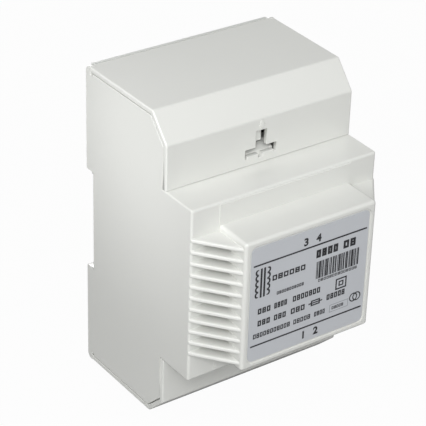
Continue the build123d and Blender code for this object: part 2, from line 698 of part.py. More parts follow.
def release_tongue():
    """Hanging finger behind the window, with the nib that catches behind the catch block."""
    y0 = COVER_INNER_Y + TONGUE_STANDOFF
    y1 = y0 + TONGUE_THICKNESS
    nib_y = CATCH_REAR_Y + SEAT_GAP
    arm_top = TONGUE_FOOT + TONGUE_THICKNESS
    profile = [
        (y0, TONGUE_FOOT), (y0, PLATE_TOP), (y1, PLATE_TOP), (y1, arm_top),
        (nib_y + TONGUE_THICKNESS, arm_top), (nib_y + TONGUE_THICKNESS, NIB_FOOT),
        (nib_y, NIB_FOOT), (nib_y, TONGUE_FOOT),
    ]
    half = TONGUE_WIDTH / 2
    finger = side_profile(profile, -half, half)
    return finger + block(-half, half, COVER_INNER_Y - MERGE, y1, ARM_TOP + TONGUE_ROOT, PLATE_TOP)


def insertion_arrow():
    """Raised arrow above the window that points down at it."""
    half = ARROW_WIDTH / 2
    stem = ARROW_STEM / 2
    tip_z = ARROW_FOOT
    neck_z = tip_z + ARROW_HEIGHT / 2
    top_z = tip_z + ARROW_HEIGHT
    outline = [(-stem, top_z), (stem, top_z), (stem, neck_z), (half, neck_z), (0, tip_z)]
    outline += [(-half, neck_z), (-stem, neck_z)]
    return front_profile(outline, UPPER_FRONT_Y - ARROW_RISE, UPPER_FRONT_Y + COVER_WALL / 2)


def cover_shell(foot_z, outer_x, drop):
    """Bent plate of a cover with rounded bends and side edges."""
    outer = cover_line(0, COVER_REAR_Y, foot_z, drop)
    inner = cover_line(COVER_WALL, COVER_REAR_Y, foot_z, drop)
    shell = side_profile(outer + inner[::-1], -outer_x, outer_x)
    bends = [e for e in shell.edges().filter_by(Axis.X) if on_bend(e.center(), outer)]
    shell = fillet(bends, COVER_BEND_RADIUS) & drafted_block()
    outer_faces = [f for f in shell.faces() if f.center().Z > foot_z and on_outline(f.center(), outer)]
    sides = [e for f in outer_faces for e in f.edges() if abs(e.center().X) > INNER_X]
    return fillet(sides, COVER_EDGE_RADIUS)


def on_bend(place, outer):
    """Whether a place lies on one of the two outer bends of a cover's outline."""
    return any(abs(place.Y - y) < 0.01 and abs(place.Z - z) < 0.01 for y, z in outer[1:3])


def on_outline(place, outer):
    """Whether a face's middle lies on or just inside a cover's outer outline, bends included."""
    reach = COVER_WALL / 2
    for (y0, z0), (y1, z1) in zip(outer, outer[1:]):
        run = math.hypot(y1 - y0, z1 - z0)
        away = abs((y1 - y0) * (place.Z - z0) - (z1 - z0) * (place.Y - y0)) / run
        along = ((place.Y - y0) * (y1 - y0) + (place.Z - z0) * (z1 - z0)) / run
        if away < reach / 2 and -reach < along < run + reach:
            return True
    return False


def make_cover(drop):
    """Terminal cover of the upper bay whose chamfer drops by the given height."""
    foot_z = TIER_Z + SLIDE_CLEARANCE
    outer_x = WIDTH / 2 + OVERCUT
    cover = cover_shell(foot_z, outer_x, drop)
    strip_end = POST_Y - SLIDE_CLEARANCE
    skirt_end = WALL_FRONT_Y - SLIDE_CLEARANCE
    skirt_outer = cover_line(COVER_WALL / 2, skirt_end, foot_z, drop)
    skirt_inner = cover_line(COVER_WALL + SKIRT_DEPTH, skirt_end, foot_z, drop)
    skirt_x = INNER_X - SLIDE_CLEARANCE
    skirt = side_profile(skirt_outer + skirt_inner[::-1], skirt_x - SKIRT_WALL, skirt_x)
    cover += [skirt, mirror(skirt, about=Plane.YZ)]
    for side in (-1, 1):
        x0 = side * (INNER_X - BASE_FIT)
        cover -= block(x0, side * outer_x, strip_end, BACK_Y + OVERCUT, 0, TOP_Z + OVERCUT)
    tab_top = TOP_Z - COVER_WALL
    tab_root = COVER_REAR_Y - TAB_ROOT
    tab_end = RIM_FRONT_Y + TAB_REACH
    half = TAB_WIDTH / 2
    for x in (-TAB_SPACING / 2, TAB_SPACING / 2):
        cover += block(x - half, x + half, tab_root, tab_end, tab_top - TAB_THICKNESS, tab_top)
    pocket_top = TOP_Z - KNOCKOUT_WEB
    for x in (-KNOCKOUT_SPACING, 0, KNOCKOUT_SPACING):
        cover -= rod_z(x, KNOCKOUT_Y, KNOCKOUT_DIAMETER / 2, pocket_top - COVER_WALL, pocket_top)
    cover += insertion_arrow()
    cover -= release_window()
    return cover + release_tongue()


def make_bottom_cover():
    cover = upside_down(make_cover(LOWER_CHAMFER_DROP))
    half = channel_half_width() + SLIDE_CLEARANCE
    front_y = channel_front_y() - SLIDE_CLEARANCE
    return cover - block(-half, half, front_y, BACK_Y + OVERCUT, -TOP_Z - OVERCUT, -TIER_Z)


# Core and coil

def lamination_holes(side):
    """Corner holes of the laminations in the upper (1) or lower (-1) half."""
    places = [(x, z) for x, z in core_hole_places() if z * side > 0]
    y0 = CORE_FRONT_Y - OVERCUT
    y1 = CORE_REAR_Y + OVERCUT
    return [rod_y(x, z, CORE_HOLE_DIAMETER / 2, y0, y1) for x, z in places]


def make_core_e():
    half = CORE_WIDTH / 2
    top = CORE_HEIGHT / 2
    foot = -top + CORE_YOKE
    core = block(-half, half, CORE_FRONT_Y, CORE_REAR_Y, foot, top)
    window_half = CORE_LEG / 2
    for side in (-1, 1):
        x0 = side * window_half
        x1 = side * (half - CORE_YOKE)
        y0 = CORE_FRONT_Y - OVERCUT
        y1 = CORE_REAR_Y + OVERCUT
        core -= block(x0, x1, y0, y1, foot - OVERCUT, top - CORE_YOKE)
    return core - lamination_holes(1)


def make_core_i():
    half = CORE_WIDTH / 2
    foot = -CORE_HEIGHT / 2
    return block(-half, half, CORE_FRONT_Y, CORE_REAR_Y, foot, foot + CORE_YOKE) - lamination_holes(-1)


def core_screw(x, z):
    shank = rod_y(x, z, CORE_SCREW_DIAMETER / 2, CORE_FRONT_Y - CORE_SCREW_BITE, CORE_REAR_Y)
    head_y = CORE_REAR_Y + CORE_SCREW_HEAD
    head = rod_y(x, z, CORE_SCREW_HEAD_DIAMETER / 2, CORE_REAR_Y, head_y)
    head = chamfer(head.edges().sort_by(Axis.Y)[-1], CORE_SCREW_CROWN)
    return shank + head - cross_drive(x, z, head_y, -1)


def former_tube():
    """Inner and outer size of the former's tube about the middle leg."""
    inner_x = CORE_LEG + 2 * FORMER_FIT
    inner_y = CORE_STACK + 2 * FORMER_FIT
    return inner_x, inner_y, inner_x + 2 * FORMER_WALL, inner_y + 2 * FORMER_WALL


def flange_heights():
    """Lower faces of the three flanges of the former."""
    half = CORE_WINDOW_HEIGHT / 2 - FORMER_SIDE_FIT
    return [-half, -FORMER_FLANGE / 2, half - FORMER_FLANGE]


def make_former():
    inner_x, inner_y, outer_x, outer_y = former_tube()
    flange_x = CORE_WIDTH - 2 * CORE_YOKE - 2 * FORMER_SIDE_FIT
    flange_y = CORE_STACK + 2 * FORMER_OVERHANG
    z0 = flange_heights()[0]
    former = Pos(0, CORE_MID_Y, z0) * extrude(Rectangle(outer_x, outer_y), amount=-2 * z0)
    for z in flange_heights():
        flange = extrude(RectangleRounded(flange_x, flange_y, WINDING_CORNER), amount=FORMER_FLANGE)
        former += Pos(0, CORE_MID_Y, z) * flange
    bore = extrude(Rectangle(inner_x, inner_y), amount=2 * (OVERCUT - z0))
    former -= Pos(0, CORE_MID_Y, z0 - OVERCUT) * bore
    return former - [coil_pin(x, side) for x in pin_places() for side in (-1, 1)]


def coil_pin(x, side):
    """Pin that stands in the end flange of the former, rear side."""
    z0 = side * flange_heights()[2]
    return rod_z(x, pin_y(), PIN_DIAMETER / 2, z0, z0 + side * PIN_LENGTH)


def make_winding(lower):
    _, _, tube_x, tube_y = former_tube()
    heights = flange_heights()
    index = 0 if lower else 1
    z0 = heights[index] + FORMER_FLANGE
    z1 = heights[index + 1]
    return rounded_ring(tube_x, tube_y, WINDING_BUILD, WINDING_CORNER, z0, z1)


def make_tape(lower):
    _, _, tube_x, tube_y = former_tube()
    heights = flange_heights()
    index = 0 if lower else 1
    z0 = heights[index] + FORMER_FLANGE
    z1 = heights[index + 1]
    build = WINDING_BUILD + TAPE_THICKNESS
    corner = WINDING_CORNER + WINDING_BUILD / 2
    outer = RectangleRounded(tube_x + 2 * build, tube_y + 2 * build, corner + TAPE_THICKNESS)
    inner = RectangleRounded(tube_x + 2 * WINDING_BUILD, tube_y + 2 * WINDING_BUILD, corner)
    return Pos(0, CORE_MID_Y, z0) * extrude(outer - inner, amount=z1 - z0)


# Terminals of the upper bay, mirrored for the lower one

def block_rear_y():
    return BLOCK_FRONT_Y + BLOCK_DEPTH


def cage_front_y():
    return BLOCK_FRONT_Y + CAGE_SETBACK


def cage_foot_z():
    return TIER_Z + CAGE_LIFT


def opening_front_y():
    """Front of the cage's opening, where the contact strip lies."""
    return cage_front_y() + CAGE_DEPTH - CAGE_REAR_WALL - CAGE_OPENING_Y


def screw_axis_z():
    return cage_foot_z() + CAGE_HEIGHT / 2


def wire_axis_y():
    """Middle of the wire's room between the strip and the cage's rear wall."""
    strip_rear = opening_front_y() + STRIP_THICKNESS + SEAT_GAP
    cage_inner = cage_front_y() + CAGE_DEPTH - CAGE_REAR_WALL
    return (strip_rear + cage_inner) / 2


def make_cage(x):
    """Lift clamp: a square tube about the wire, thick on the screw's side."""
    y0 = cage_front_y()
    y1 = y0 + CAGE_DEPTH
    z0 = cage_foot_z()
    z1 = z0 + CAGE_HEIGHT
    cage = block(x - CAGE_WIDTH / 2, x + CAGE_WIDTH / 2, y0, y1, z0, z1)
    cage = fillet(cage.edges().filter_by(Axis.Z), BLOCK_EDGE_RADIUS)
    half = CAGE_OPENING_X / 2
    opening_y = opening_front_y()
    cage -= block(x - half, x + half, opening_y, y1 - CAGE_REAR_WALL, z0 - OVERCUT, z1 + OVERCUT)
    thread_radius = TERMINAL_SCREW_DIAMETER / 2 + THREAD_FIT
    return cage - rod_y(x, screw_axis_z(), thread_radius, y0 - OVERCUT, opening_y + OVERCUT)


def make_strip(x):
    """Contact strip through the cage, bent back into a solder tag."""
    y0 = opening_front_y() + SEAT_GAP
    y1 = y0 + STRIP_THICKNESS
    foot = TIER_Z + STRIP_LIFT
    top = cage_foot_z() + CAGE_HEIGHT + CAGE_FIT
    tag_y = block_rear_y() + STRIP_TAG
    profile = [(y0, foot), (tag_y, foot), (tag_y, foot + STRIP_THICKNESS), (y1, foot + STRIP_THICKNESS)]
    profile += [(y1, top), (y0, top)]
    return side_profile(profile, x - STRIP_WIDTH / 2, x + STRIP_WIDTH / 2)


def make_terminal_screw(x):
    z = screw_axis_z()
    head_front = BLOCK_FRONT_Y + TERMINAL_HEAD_RECESS
    head_rear = head_front + TERMINAL_HEAD
    head = rod_y(x, z, TERMINAL_HEAD_DIAMETER / 2, head_front, head_rear)
    head = chamfer(head.edges().sort_by(Axis.Y)[0], TERMINAL_HEAD_CROWN)
    shank = rod_y(x, z, TERMINAL_SCREW_DIAMETER / 2, head_rear, opening_front_y() + SEAT_GAP)
    return head + shank - cross_drive(x, z, head_front, 1)


def make_terminal_block():
    x0 = BLOCK_OUTER_X
    x1 = x0 + 2 * POLE_PITCH
    top = TIER_Z + BLOCK_HEIGHT
    body = block(x0, x1, BLOCK_FRONT_Y, block_rear_y(), TIER_Z, top)
    foot_edges = body.faces().sort_by(Axis.Z)[0].edges()
    kept = [e.center() for e in foot_edges]
    rims = [e for e in body.edges() if all((e.center() - c).length > MERGE for c in kept)]
    body = fillet(rims, BLOCK_EDGE_RADIUS)
    ceiling = top - WIRE_HOLE_LENGTH
    z = screw_axis_z()
    half = CAGE_WIDTH / 2 + CAGE_FIT
    strip_half = STRIP_WIDTH / 2 + SEAT_GAP
    head_seat = BLOCK_FRONT_Y + TERMINAL_HEAD_RECESS + TERMINAL_HEAD
    for x in pole_places():
        cage_rear = cage_front_y() + CAGE_DEPTH + CAGE_FIT
        body -= block(x - half, x + half, cage_front_y() - CAGE_FIT, cage_rear, TIER_Z - OVERCUT, ceiling)
        body -= rod_z(x, wire_axis_y(), WIRE_HOLE_DIAMETER / 2, ceiling - OVERCUT, top + OVERCUT)
        body -= rod_y(x, z, TERMINAL_HEAD_DIAMETER / 2 + CAGE_FIT, BLOCK_FRONT_Y - OVERCUT, head_seat)
        body -= rod_y(x, z, TERMINAL_SCREW_DIAMETER / 2 + CAGE_FIT, BLOCK_FRONT_Y, cage_front_y())
        tag_top = TIER_Z + STRIP_LIFT + STRIP_THICKNESS + SEAT_GAP
        tag_end = block_rear_y() + OVERCUT
        body -= block(x - strip_half, x + strip_half, cage_rear - MERGE, tag_end, TIER_Z - OVERCUT, tag_top)
    return body


# Fuse

def fuse_axis_z():
    return TIER_Z + PLINTH_HEIGHT + CLIP_SHEET + FUSE_CAP_DIAMETER / 2


def make_fuse_glass():
    half = FUSE_LENGTH / 2 - FUSE_CAP_END
    z = fuse_axis_z()
    x0 = FUSE_CENTRE_X - half
    x1 = FUSE_CENTRE_X + half
    tube = rod_x(FUSE_Y, z, FUSE_GLASS_DIAMETER / 2, x0, x1)
    bore_radius = FUSE_GLASS_DIAMETER / 2 - FUSE_GLASS_WALL
    return tube - rod_x(FUSE_Y, z, bore_radius, x0 - OVERCUT, x1 + OVERCUT)


def make_fuse_cap(side):
    z = fuse_axis_z()
    outer_x = FUSE_CENTRE_X + side * FUSE_LENGTH / 2
    inner_x = outer_x - side * FUSE_CAP_LENGTH
    cap = rod_x(FUSE_Y, z, FUSE_CAP_DIAMETER / 2, min(inner_x, outer_x), max(inner_x, outer_x))
    floor_x = outer_x - side * FUSE_CAP_END
    bore_x = inner_x - side * OVERCUT
    return cap - rod_x(FUSE_Y, z, FUSE_GLASS_DIAMETER / 2, min(bore_x, floor_x), max(bore_x, floor_x))


def make_fuse_clip(side):
    """Spring clip: a foot on the plinth and two arms round the fuse cap, open at the top."""
    z = fuse_axis_z()
    inner = FUSE_CAP_DIAMETER / 2
    outer = inner + CLIP_SHEET
    centre_x = FUSE_CENTRE_X + side * (FUSE_LENGTH - FUSE_CAP_LENGTH) / 2
    x0 = centre_x - CLIP_LENGTH / 2
    x1 = centre_x + CLIP_LENGTH / 2
    foot = block(x0, x1, FUSE_Y - inner, FUSE_Y + inner, z - outer, z - inner + CLIP_FOOT_OVERLAP)
    clip = rod_x(FUSE_Y, z, outer, x0, x1) + foot
    clip -= rod_x(FUSE_Y, z, inner, x0 - OVERCUT, x1 + OVERCUT)
    rise = 2 * outer
    spread = rise * math.tan(math.radians(CLIP_GRIP / 2))
    mouth = [(FUSE_Y, z), (FUSE_Y + spread, z + rise), (FUSE_Y - spread, z + rise)]
    return clip - side_profile(mouth, x0 - OVERCUT, x1 + OVERCUT)


# Leads: straight runs joined by tangent arcs

def lead(points):
    path = FilletPolyline(*points, radius=LEAD_BEND)
    section = Plane(path @ 0, z_dir=path % 0) * Circle(LEAD_DIAMETER / 2)
    return sweep(section, path=path)


def lead_start(x):
    """Top of a coil pin, where a lead begins."""
    return (x, pin_y(), flange_heights()[2] + PIN_LENGTH)


def tag_point(x):
    """End of a lead on the solder tag of a pole."""
    z = TIER_Z + STRIP_LIFT + STRIP_THICKNESS + LEAD_DIAMETER / 2
    return (x, block_rear_y() + SOLDER_OVERLAP, z)


def pole_lead(start_x, pole_x):
    """Lead from a coil pin through the partition to a pole's solder tag."""
    start = lead_start(start_x)
    end = tag_point(pole_x)
    over = (start_x, start[1], end[2] + LEAD_RISE)
    before = (pole_x, end[1] + LEAD_LEVEL_RUN, end[2])
    return lead([start, over, before, end])


def secondary_leads():
    """Coil to pole, coil to fuse clip, and the link from the fuse to the other pole."""
    outer_pole, inner_pole = pole_places()
    left_pin, right_pin = pin_places()
    clip_z = TIER_Z + PLINTH_HEIGHT + CLIP_SHEET + LEAD_DIAMETER / 2
    clip_y = FUSE_Y + FUSE_CAP_DIAMETER / 2 + LEAD_DIAMETER / 2 + CLIP_SHEET
    reach = (FUSE_LENGTH - FUSE_CAP_LENGTH) / 2
    near_clip = FUSE_CENTRE_X - reach
    far_clip = FUSE_CENTRE_X + reach
    crest_z = TIER_Z + LEAD_CREST
    crest = [(right_pin, pin_y(), crest_z), (far_clip, pin_y() - CREST_RUN, crest_z)]
    to_fuse = [lead_start(right_pin)] + crest + [(far_clip, clip_y, clip_z)]
    end = tag_point(outer_pole)
    link = [(near_clip, clip_y, clip_z), (near_clip, LINK_Y, clip_z), (outer_pole, LINK_Y, end[2]), end]
    return [pole_lead(left_pin, inner_pole), lead(to_fuse), lead(link)]


def primary_leads():
    outer_pole, inner_pole = pole_places()
    left_pin, right_pin = pin_places()
    upper = [pole_lead(left_pin, outer_pole), pole_lead(right_pin, inner_pole)]
    return [upside_down(wire) for wire in upper]


def make_pieces():
    """Every node of the part, by name."""
    pieces = {
        "housing": make_housing(),
        "rear_base": make_rear_base(),
        "rail_latch": make_latch(),
        "latch_spring": make_latch_spring(),
        "top_cover": make_cover(CHAMFER_DROP),
        "bottom_cover": make_bottom_cover(),
        "rating_label": make_label(),
        "core_e_stack": make_core_e(),
        "core_i_stack": make_core_i(),
        "coil_former": make_former(),
        "primary_winding": make_winding(True),
        "secondary_winding": make_winding(False),
        "primary_tape": make_tape(True),
        "secondary_tape": make_tape(False),
        "coil_pins": Compound([coil_pin(x, side) for x in pin_places() for side in (-1, 1)]),
        "core_screws": Compound([core_screw(x, z) for x, z in core_hole_places()]),
        "base_screws": Compound(
            [base_screw(x, z) for x, z in corner_places(BASE_SCREW_SPACING_X, BASE_SCREW_SPACING_Z)]
        ),
        "secondary_terminal_block": make_terminal_block(),
        "primary_terminal_block": upside_down(make_terminal_block()),
        "fuse_glass": make_fuse_glass(),
    }
    for i, x in enumerate(pole_places(), start=1):
        makers = {"clamp_cage": make_cage, "contact_strip": make_strip}
        makers["terminal_screw"] = make_terminal_screw
        for name, make in makers.items():
            pieces[f"secondary_{name}_{i}"] = make(x)
            pieces[f"primary_{name}_{i}"] = upside_down(make(x))
    for i, side in enumerate((-1, 1), start=1):
        pieces[f"fuse_cap_{i}"] = make_fuse_cap(side)
        pieces[f"fuse_clip_{i}"] = make_fuse_clip(side)
    for i, wire in enumerate(secondary_leads(), start=1):
        pieces[f"secondary_lead_{i}"] = wire
    for i, wire in enumerate(primary_leads(), start=1):
        pieces[f"primary_lead_{i}"] = wire
    return pieces


os.makedirs("parts", exist_ok=True)
for node, shape in make_pieces().items():
    export_step(shape, "parts/" + node + ".step")
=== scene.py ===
"""Looks of a safety transformer in a four-module housing for a 35 mm rail.

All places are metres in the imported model's frame: X along the rail, -Y out of the front, Z up.
Sizes below are written in millimetres and multiplied by MM.
"""
import math

import bmesh
import bpy
import numpy as np
from mathutils import Matrix, Vector


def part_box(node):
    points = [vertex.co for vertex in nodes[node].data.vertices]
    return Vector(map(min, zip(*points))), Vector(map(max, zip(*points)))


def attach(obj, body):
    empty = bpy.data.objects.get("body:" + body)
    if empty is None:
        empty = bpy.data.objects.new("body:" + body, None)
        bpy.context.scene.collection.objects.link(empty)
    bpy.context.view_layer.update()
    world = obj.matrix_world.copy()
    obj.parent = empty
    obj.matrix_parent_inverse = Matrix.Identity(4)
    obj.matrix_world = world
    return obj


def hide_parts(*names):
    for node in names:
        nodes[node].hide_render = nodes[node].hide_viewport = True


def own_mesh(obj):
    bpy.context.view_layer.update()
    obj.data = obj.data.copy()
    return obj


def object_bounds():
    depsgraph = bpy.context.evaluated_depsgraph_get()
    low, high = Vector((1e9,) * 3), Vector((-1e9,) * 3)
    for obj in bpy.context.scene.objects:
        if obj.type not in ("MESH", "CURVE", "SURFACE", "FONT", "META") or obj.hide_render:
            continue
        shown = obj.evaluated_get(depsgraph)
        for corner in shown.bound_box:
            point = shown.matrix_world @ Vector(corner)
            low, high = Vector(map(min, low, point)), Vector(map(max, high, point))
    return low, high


MM = 0.001
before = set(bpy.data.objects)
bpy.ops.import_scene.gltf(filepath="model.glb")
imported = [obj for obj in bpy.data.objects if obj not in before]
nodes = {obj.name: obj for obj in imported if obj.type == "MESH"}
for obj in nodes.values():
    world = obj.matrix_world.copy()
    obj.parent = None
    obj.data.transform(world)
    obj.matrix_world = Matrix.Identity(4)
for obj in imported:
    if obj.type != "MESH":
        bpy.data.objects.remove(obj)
cad_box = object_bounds()

# Camera of the reference view, as a real lens position
CAMERA_PLACE = (-0.29747, -0.42871, 0.29711)
CAMERA_RIGHT = (0.81976, -0.57205, 0.02749)
CAMERA_FORWARD = (0.50555, 0.70024, -0.50406)
IMAGE_WIDTH = 426
FOCAL_PIXELS = 1826.5
SENSOR_WIDTH = 36.0

# Square lights: place, side in metres and watts
LIGHT_TARGET = (0, -0.03, 0)
CRISP_LIGHT = ((-0.44, -0.56, 0.50), 0.20, 1.8)
SOFT_LIGHT = ((-0.44, -0.56, 0.60), 1.00, 6.5)
BACK_LIGHT = ((0.25, 0.95, 0.10), 0.50, 5.0)

# Round light for the left side
SIDE_SPOT_PLACE = (-0.60, -0.02, 0.20)
SIDE_SPOT_TARGET = (-0.035, -0.023, 0.041)
SIDE_SPOT_RADIUS = 0.03
SIDE_SPOT_ANGLE = math.radians(10.0)
SIDE_SPOT_BLEND = 0.8
SIDE_SPOT_WATTS = 5.4

# Floor and surroundings
WORLD_STRENGTH = 0.29
FLOOR_WHITE_SHARE = 0.97
FLOOR_COLOUR = (0.4, 0.4, 0.4, 1)
FLOOR_ROUGHNESS = 0.9
FLOOR_HALF = 2.0
FLOOR_GAP = 0.2 * MM

# Edge rounding of the mouldings
SHELL_ROUNDING = 0.22 * MM
SMALL_ROUNDING = 0.12 * MM
SHARP_ANGLE = math.radians(32)
FLAT_ANGLE = math.radians(0.6)
ROOM_SHARE = 0.4
LEAST_WEIGHT = 0.2
MERGE_DISTANCE = 0.001 * MM

SIDES = ("primary", "secondary")


def box_of(node):
    """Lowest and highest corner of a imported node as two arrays."""
    low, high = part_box(node)
    return np.array(low), np.array(high)


# Mesh building

def new_object(name, mesh, body, material, smooth=True):
    """Puts a finished mesh into the scene on its body, with its material."""
    obj = bpy.data.objects.new(name, mesh)
    bpy.context.scene.collection.objects.link(obj)
    mesh.polygons.foreach_set("use_smooth", np.full(len(mesh.polygons), smooth))
    mesh.materials.clear()
    mesh.materials.append(material)
    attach(obj, body)
    return obj


def mesh_from(name, points, faces):
    """Mesh from an array of points and an array or list of faces."""
    mesh = bpy.data.meshes.new(name)
    mesh.from_pydata(np.asarray(points).reshape(-1, 3).tolist(), [], [list(map(int, f)) for f in faces])
    mesh.validate()
    return mesh


def grid_faces(rows, columns, wrap_rows=False, wrap_columns=False):
    """Quads of a grid of points, row after row, that may close on itself either way."""
    row = np.arange(rows if wrap_rows else rows - 1)
    column = np.arange(columns if wrap_columns else columns - 1)
    r, c = np.meshgrid(row, column, indexing="ij")
    next_r = (r + 1) % rows
    next_c = (c + 1) % columns
    quads = [r * columns + c, r * columns + next_c, next_r * columns + next_c, next_r * columns + c]
    return np.stack(quads, axis=-1).reshape(-1, 4)


def outward(mesh):
    """Merges the doubles of a closed mesh and turns all its faces outwards."""
    work = bmesh.new()
    work.from_mesh(mesh)
    bmesh.ops.remove_doubles(work, verts=work.verts, dist=MERGE_DISTANCE / 10)
    bmesh.ops.dissolve_degenerate(work, edges=work.edges, dist=MERGE_DISTANCE / 10)
    bmesh.ops.recalc_face_normals(work, faces=work.faces)
    work.to_mesh(mesh)
    work.free()
    return mesh


def joined(name, parts):
    """One mesh of several parts, each an array of points and an array or list of faces."""
    points = []
    faces = []
    count = 0
    for part_points, part_faces in parts:
        flat = np.asarray(part_points).reshape(-1, 3)
        points.append(flat)
        faces += [[count + int(i) for i in face] for face in part_faces]
        count += len(flat)
    return outward(mesh_from(name, np.concatenate(points), faces))


# Direction that no tube's route follows
TUBE_REFERENCE = np.array([0.31, 0.17, 0.93])


def tube_part(route, radius, sides):
    """Round tube: at each route point p with tangent t, the ring p + radius (n cos a + b sin a),
    where n is the reference direction made square to t and b = t x n."""
    tangent = np.gradient(route, axis=0)
    tangent /= np.linalg.norm(tangent, axis=1, keepdims=True)
    normal = TUBE_REFERENCE - tangent * (tangent @ TUBE_REFERENCE)[:, None]
    normal /= np.linalg.norm(normal, axis=1, keepdims=True)
    binormal = np.cross(tangent, normal)
    angle = np.linspace(0, 2 * np.pi, sides, endpoint=False)
    across = np.cos(angle)[None, :, None]
    up = np.sin(angle)[None, :, None]
    points = route[:, None] + radius * (normal[:, None] * across + binormal[:, None] * up)
    faces = grid_faces(len(route), sides, wrap_columns=True).tolist()
    last = (len(route) - 1) * sides
    faces.append(list(range(sides - 1, -1, -1)))
    faces.append([last + i for i in range(sides)])
    return points, faces


def off_line(point, start, end):
    """Distance from a point to a stretch of line."""
    along = end - start
    share = min(max((point - start).dot(along) / along.length_squared, 0.0), 1.0)
    return (point - start - along * share).length


def corner_room(corner):
    """Shortest way from a corner to the other ends of its edges and to the other edges of its faces."""
    rooms = [edge.calc_length() for edge in corner.link_edges]
    for face in corner.link_faces:
        for edge in face.edges:
            if corner not in edge.verts:
                rooms.append(off_line(corner.co, *(v.co for v in edge.verts)))
    return min(rooms)


def bevel_room(edge, corner_rooms):
    """Least room of an edge's two ends and of the corners that lie across its two faces."""
    ends = [v.co for v in edge.verts]
    rooms = [corner_rooms[v.index] for v in edge.verts]
    for face in edge.link_faces:
        rooms += [off_line(v.co, *ends) for v in face.verts if v not in edge.verts]
    return min(rooms)


def merged_copy(node, width):
    """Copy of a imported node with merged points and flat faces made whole. Its sharp outer edges carry a
    bevel weight, less than 1 where a narrow face leaves no room for the full width, and its other sharp
    edges are marked sharp."""
    mesh = nodes[node].data.copy()
    mesh.name = node + "_moulding"
    work = bmesh.new()
    work.from_mesh(mesh)
    bmesh.ops.remove_doubles(work, verts=work.verts, dist=MERGE_DISTANCE)
    bmesh.ops.dissolve_limit(
        work, angle_limit=FLAT_ANGLE, use_dissolve_boundaries=False, verts=work.verts, edges=work.edges,
    )
    work.verts.index_update()
    corner_rooms = [corner_room(corner) for corner in work.verts]
    weight = work.edges.layers.float.new("bevel_weight_edge")
    for edge in work.edges:
        if len(edge.link_faces) == 2 and edge.calc_face_angle() > SHARP_ANGLE:
            share = ROOM_SHARE * bevel_room(edge, corner_rooms) / width
            if edge.is_convex and share > LEAST_WEIGHT:
                edge[weight] = min(1.0, share)
            else:
                edge.smooth = False
    work.to_mesh(mesh)
    work.free()
    return mesh


def finish_edges(obj, width):
    """Rounds the weighted edges and lets the large flat faces lead the shading."""
    bevel = obj.modifiers.new("edges", "BEVEL")
    bevel.width = width
    bevel.segments = 2
    bevel.limit_method = "WEIGHT"
    bevel.use_clamp_overlap = False
    shading = obj.modifiers.new("shading", "WEIGHTED_NORMAL")
    shading.mode = "FACE_AREA_WITH_ANGLE"
    shading.keep_sharp = True


# Shader groups, with noise scales and lines as numbers in each metre

SWELL_SCALE = 60.0
GRAIN_SCALE = 2200.0
TONE_SCALE = 24.0
RUB_SCALE = 160.0
SHEET_THICKNESS = 0.5 * MM
SHEET_FACE_HALF = 0.42
LINES_ACROSS = 2600.0
LINES_ALONG = 90.0


def group_with(name, inputs, outputs):
    """Empty shader group with named float inputs and named outputs."""
    group = bpy.data.node_groups.new(name, "ShaderNodeTree")
    for socket, value in inputs.items():
        made = group.interface.new_socket(socket, in_out="INPUT", socket_type="NodeSocketFloat")
        made.default_value = value
    for socket in outputs:
        group.interface.new_socket(socket, in_out="OUTPUT", socket_type="NodeSocketFloat")
    return group, group.nodes.new("NodeGroupInput"), group.nodes.new("NodeGroupOutput")


def feed(tree, value, socket):
    """Gives a socket another socket's value or a number."""
    if isinstance(value, (int, float)):
        socket.default_value = value
    else:
        tree.links.new(value, socket)


def math_node(tree, operation, first, second=0.0):
    """Math node whose operands are sockets or numbers."""
    node = tree.nodes.new("ShaderNodeMath")
    node.operation = operation
    feed(tree, first, node.inputs[0])
    feed(tree, second, node.inputs[1])
    return node.outputs[0]


def noise(tree, vector, scale, detail):
    """Noise on a vector, as its value from 0 to 1."""
    node = tree.nodes.new("ShaderNodeTexNoise")
    node.inputs["Detail"].default_value = detail
    feed(tree, scale, node.inputs["Scale"])
    tree.links.new(vector, node.inputs["Vector"])
    return node.outputs["Fac"]


def make_moulded_skin():
    """Moulded surface: a slow flow swell and a fine polish grain, each times its share, as one height,
    and a slow and a fine mask for colour and roughness."""
    group, source, sink = group_with(
        "moulded_skin",
        {"Swell": 0.5, "Grain": 0.5, "Swell Scale": SWELL_SCALE, "Grain Scale": GRAIN_SCALE},
        ("Height", "Tone", "Rub"),
    )
    place = group.nodes.new("ShaderNodeTexCoord").outputs["Object"]
    swell = noise(group, place, source.outputs["Swell Scale"], detail=1.0)
    grain = noise(group, place, source.outputs["Grain Scale"], detail=3.0)
    slow = math_node(group, "MULTIPLY", swell, source.outputs["Swell"])
    fine = math_node(group, "MULTIPLY", grain, source.outputs["Grain"])
    group.links.new(math_node(group, "ADD", slow, fine), sink.inputs["Height"])
    group.links.new(noise(group, place, TONE_SCALE, detail=3.0), sink.inputs["Tone"])
    group.links.new(noise(group, place, RUB_SCALE, detail=6.0), sink.inputs["Rub"])
    return group


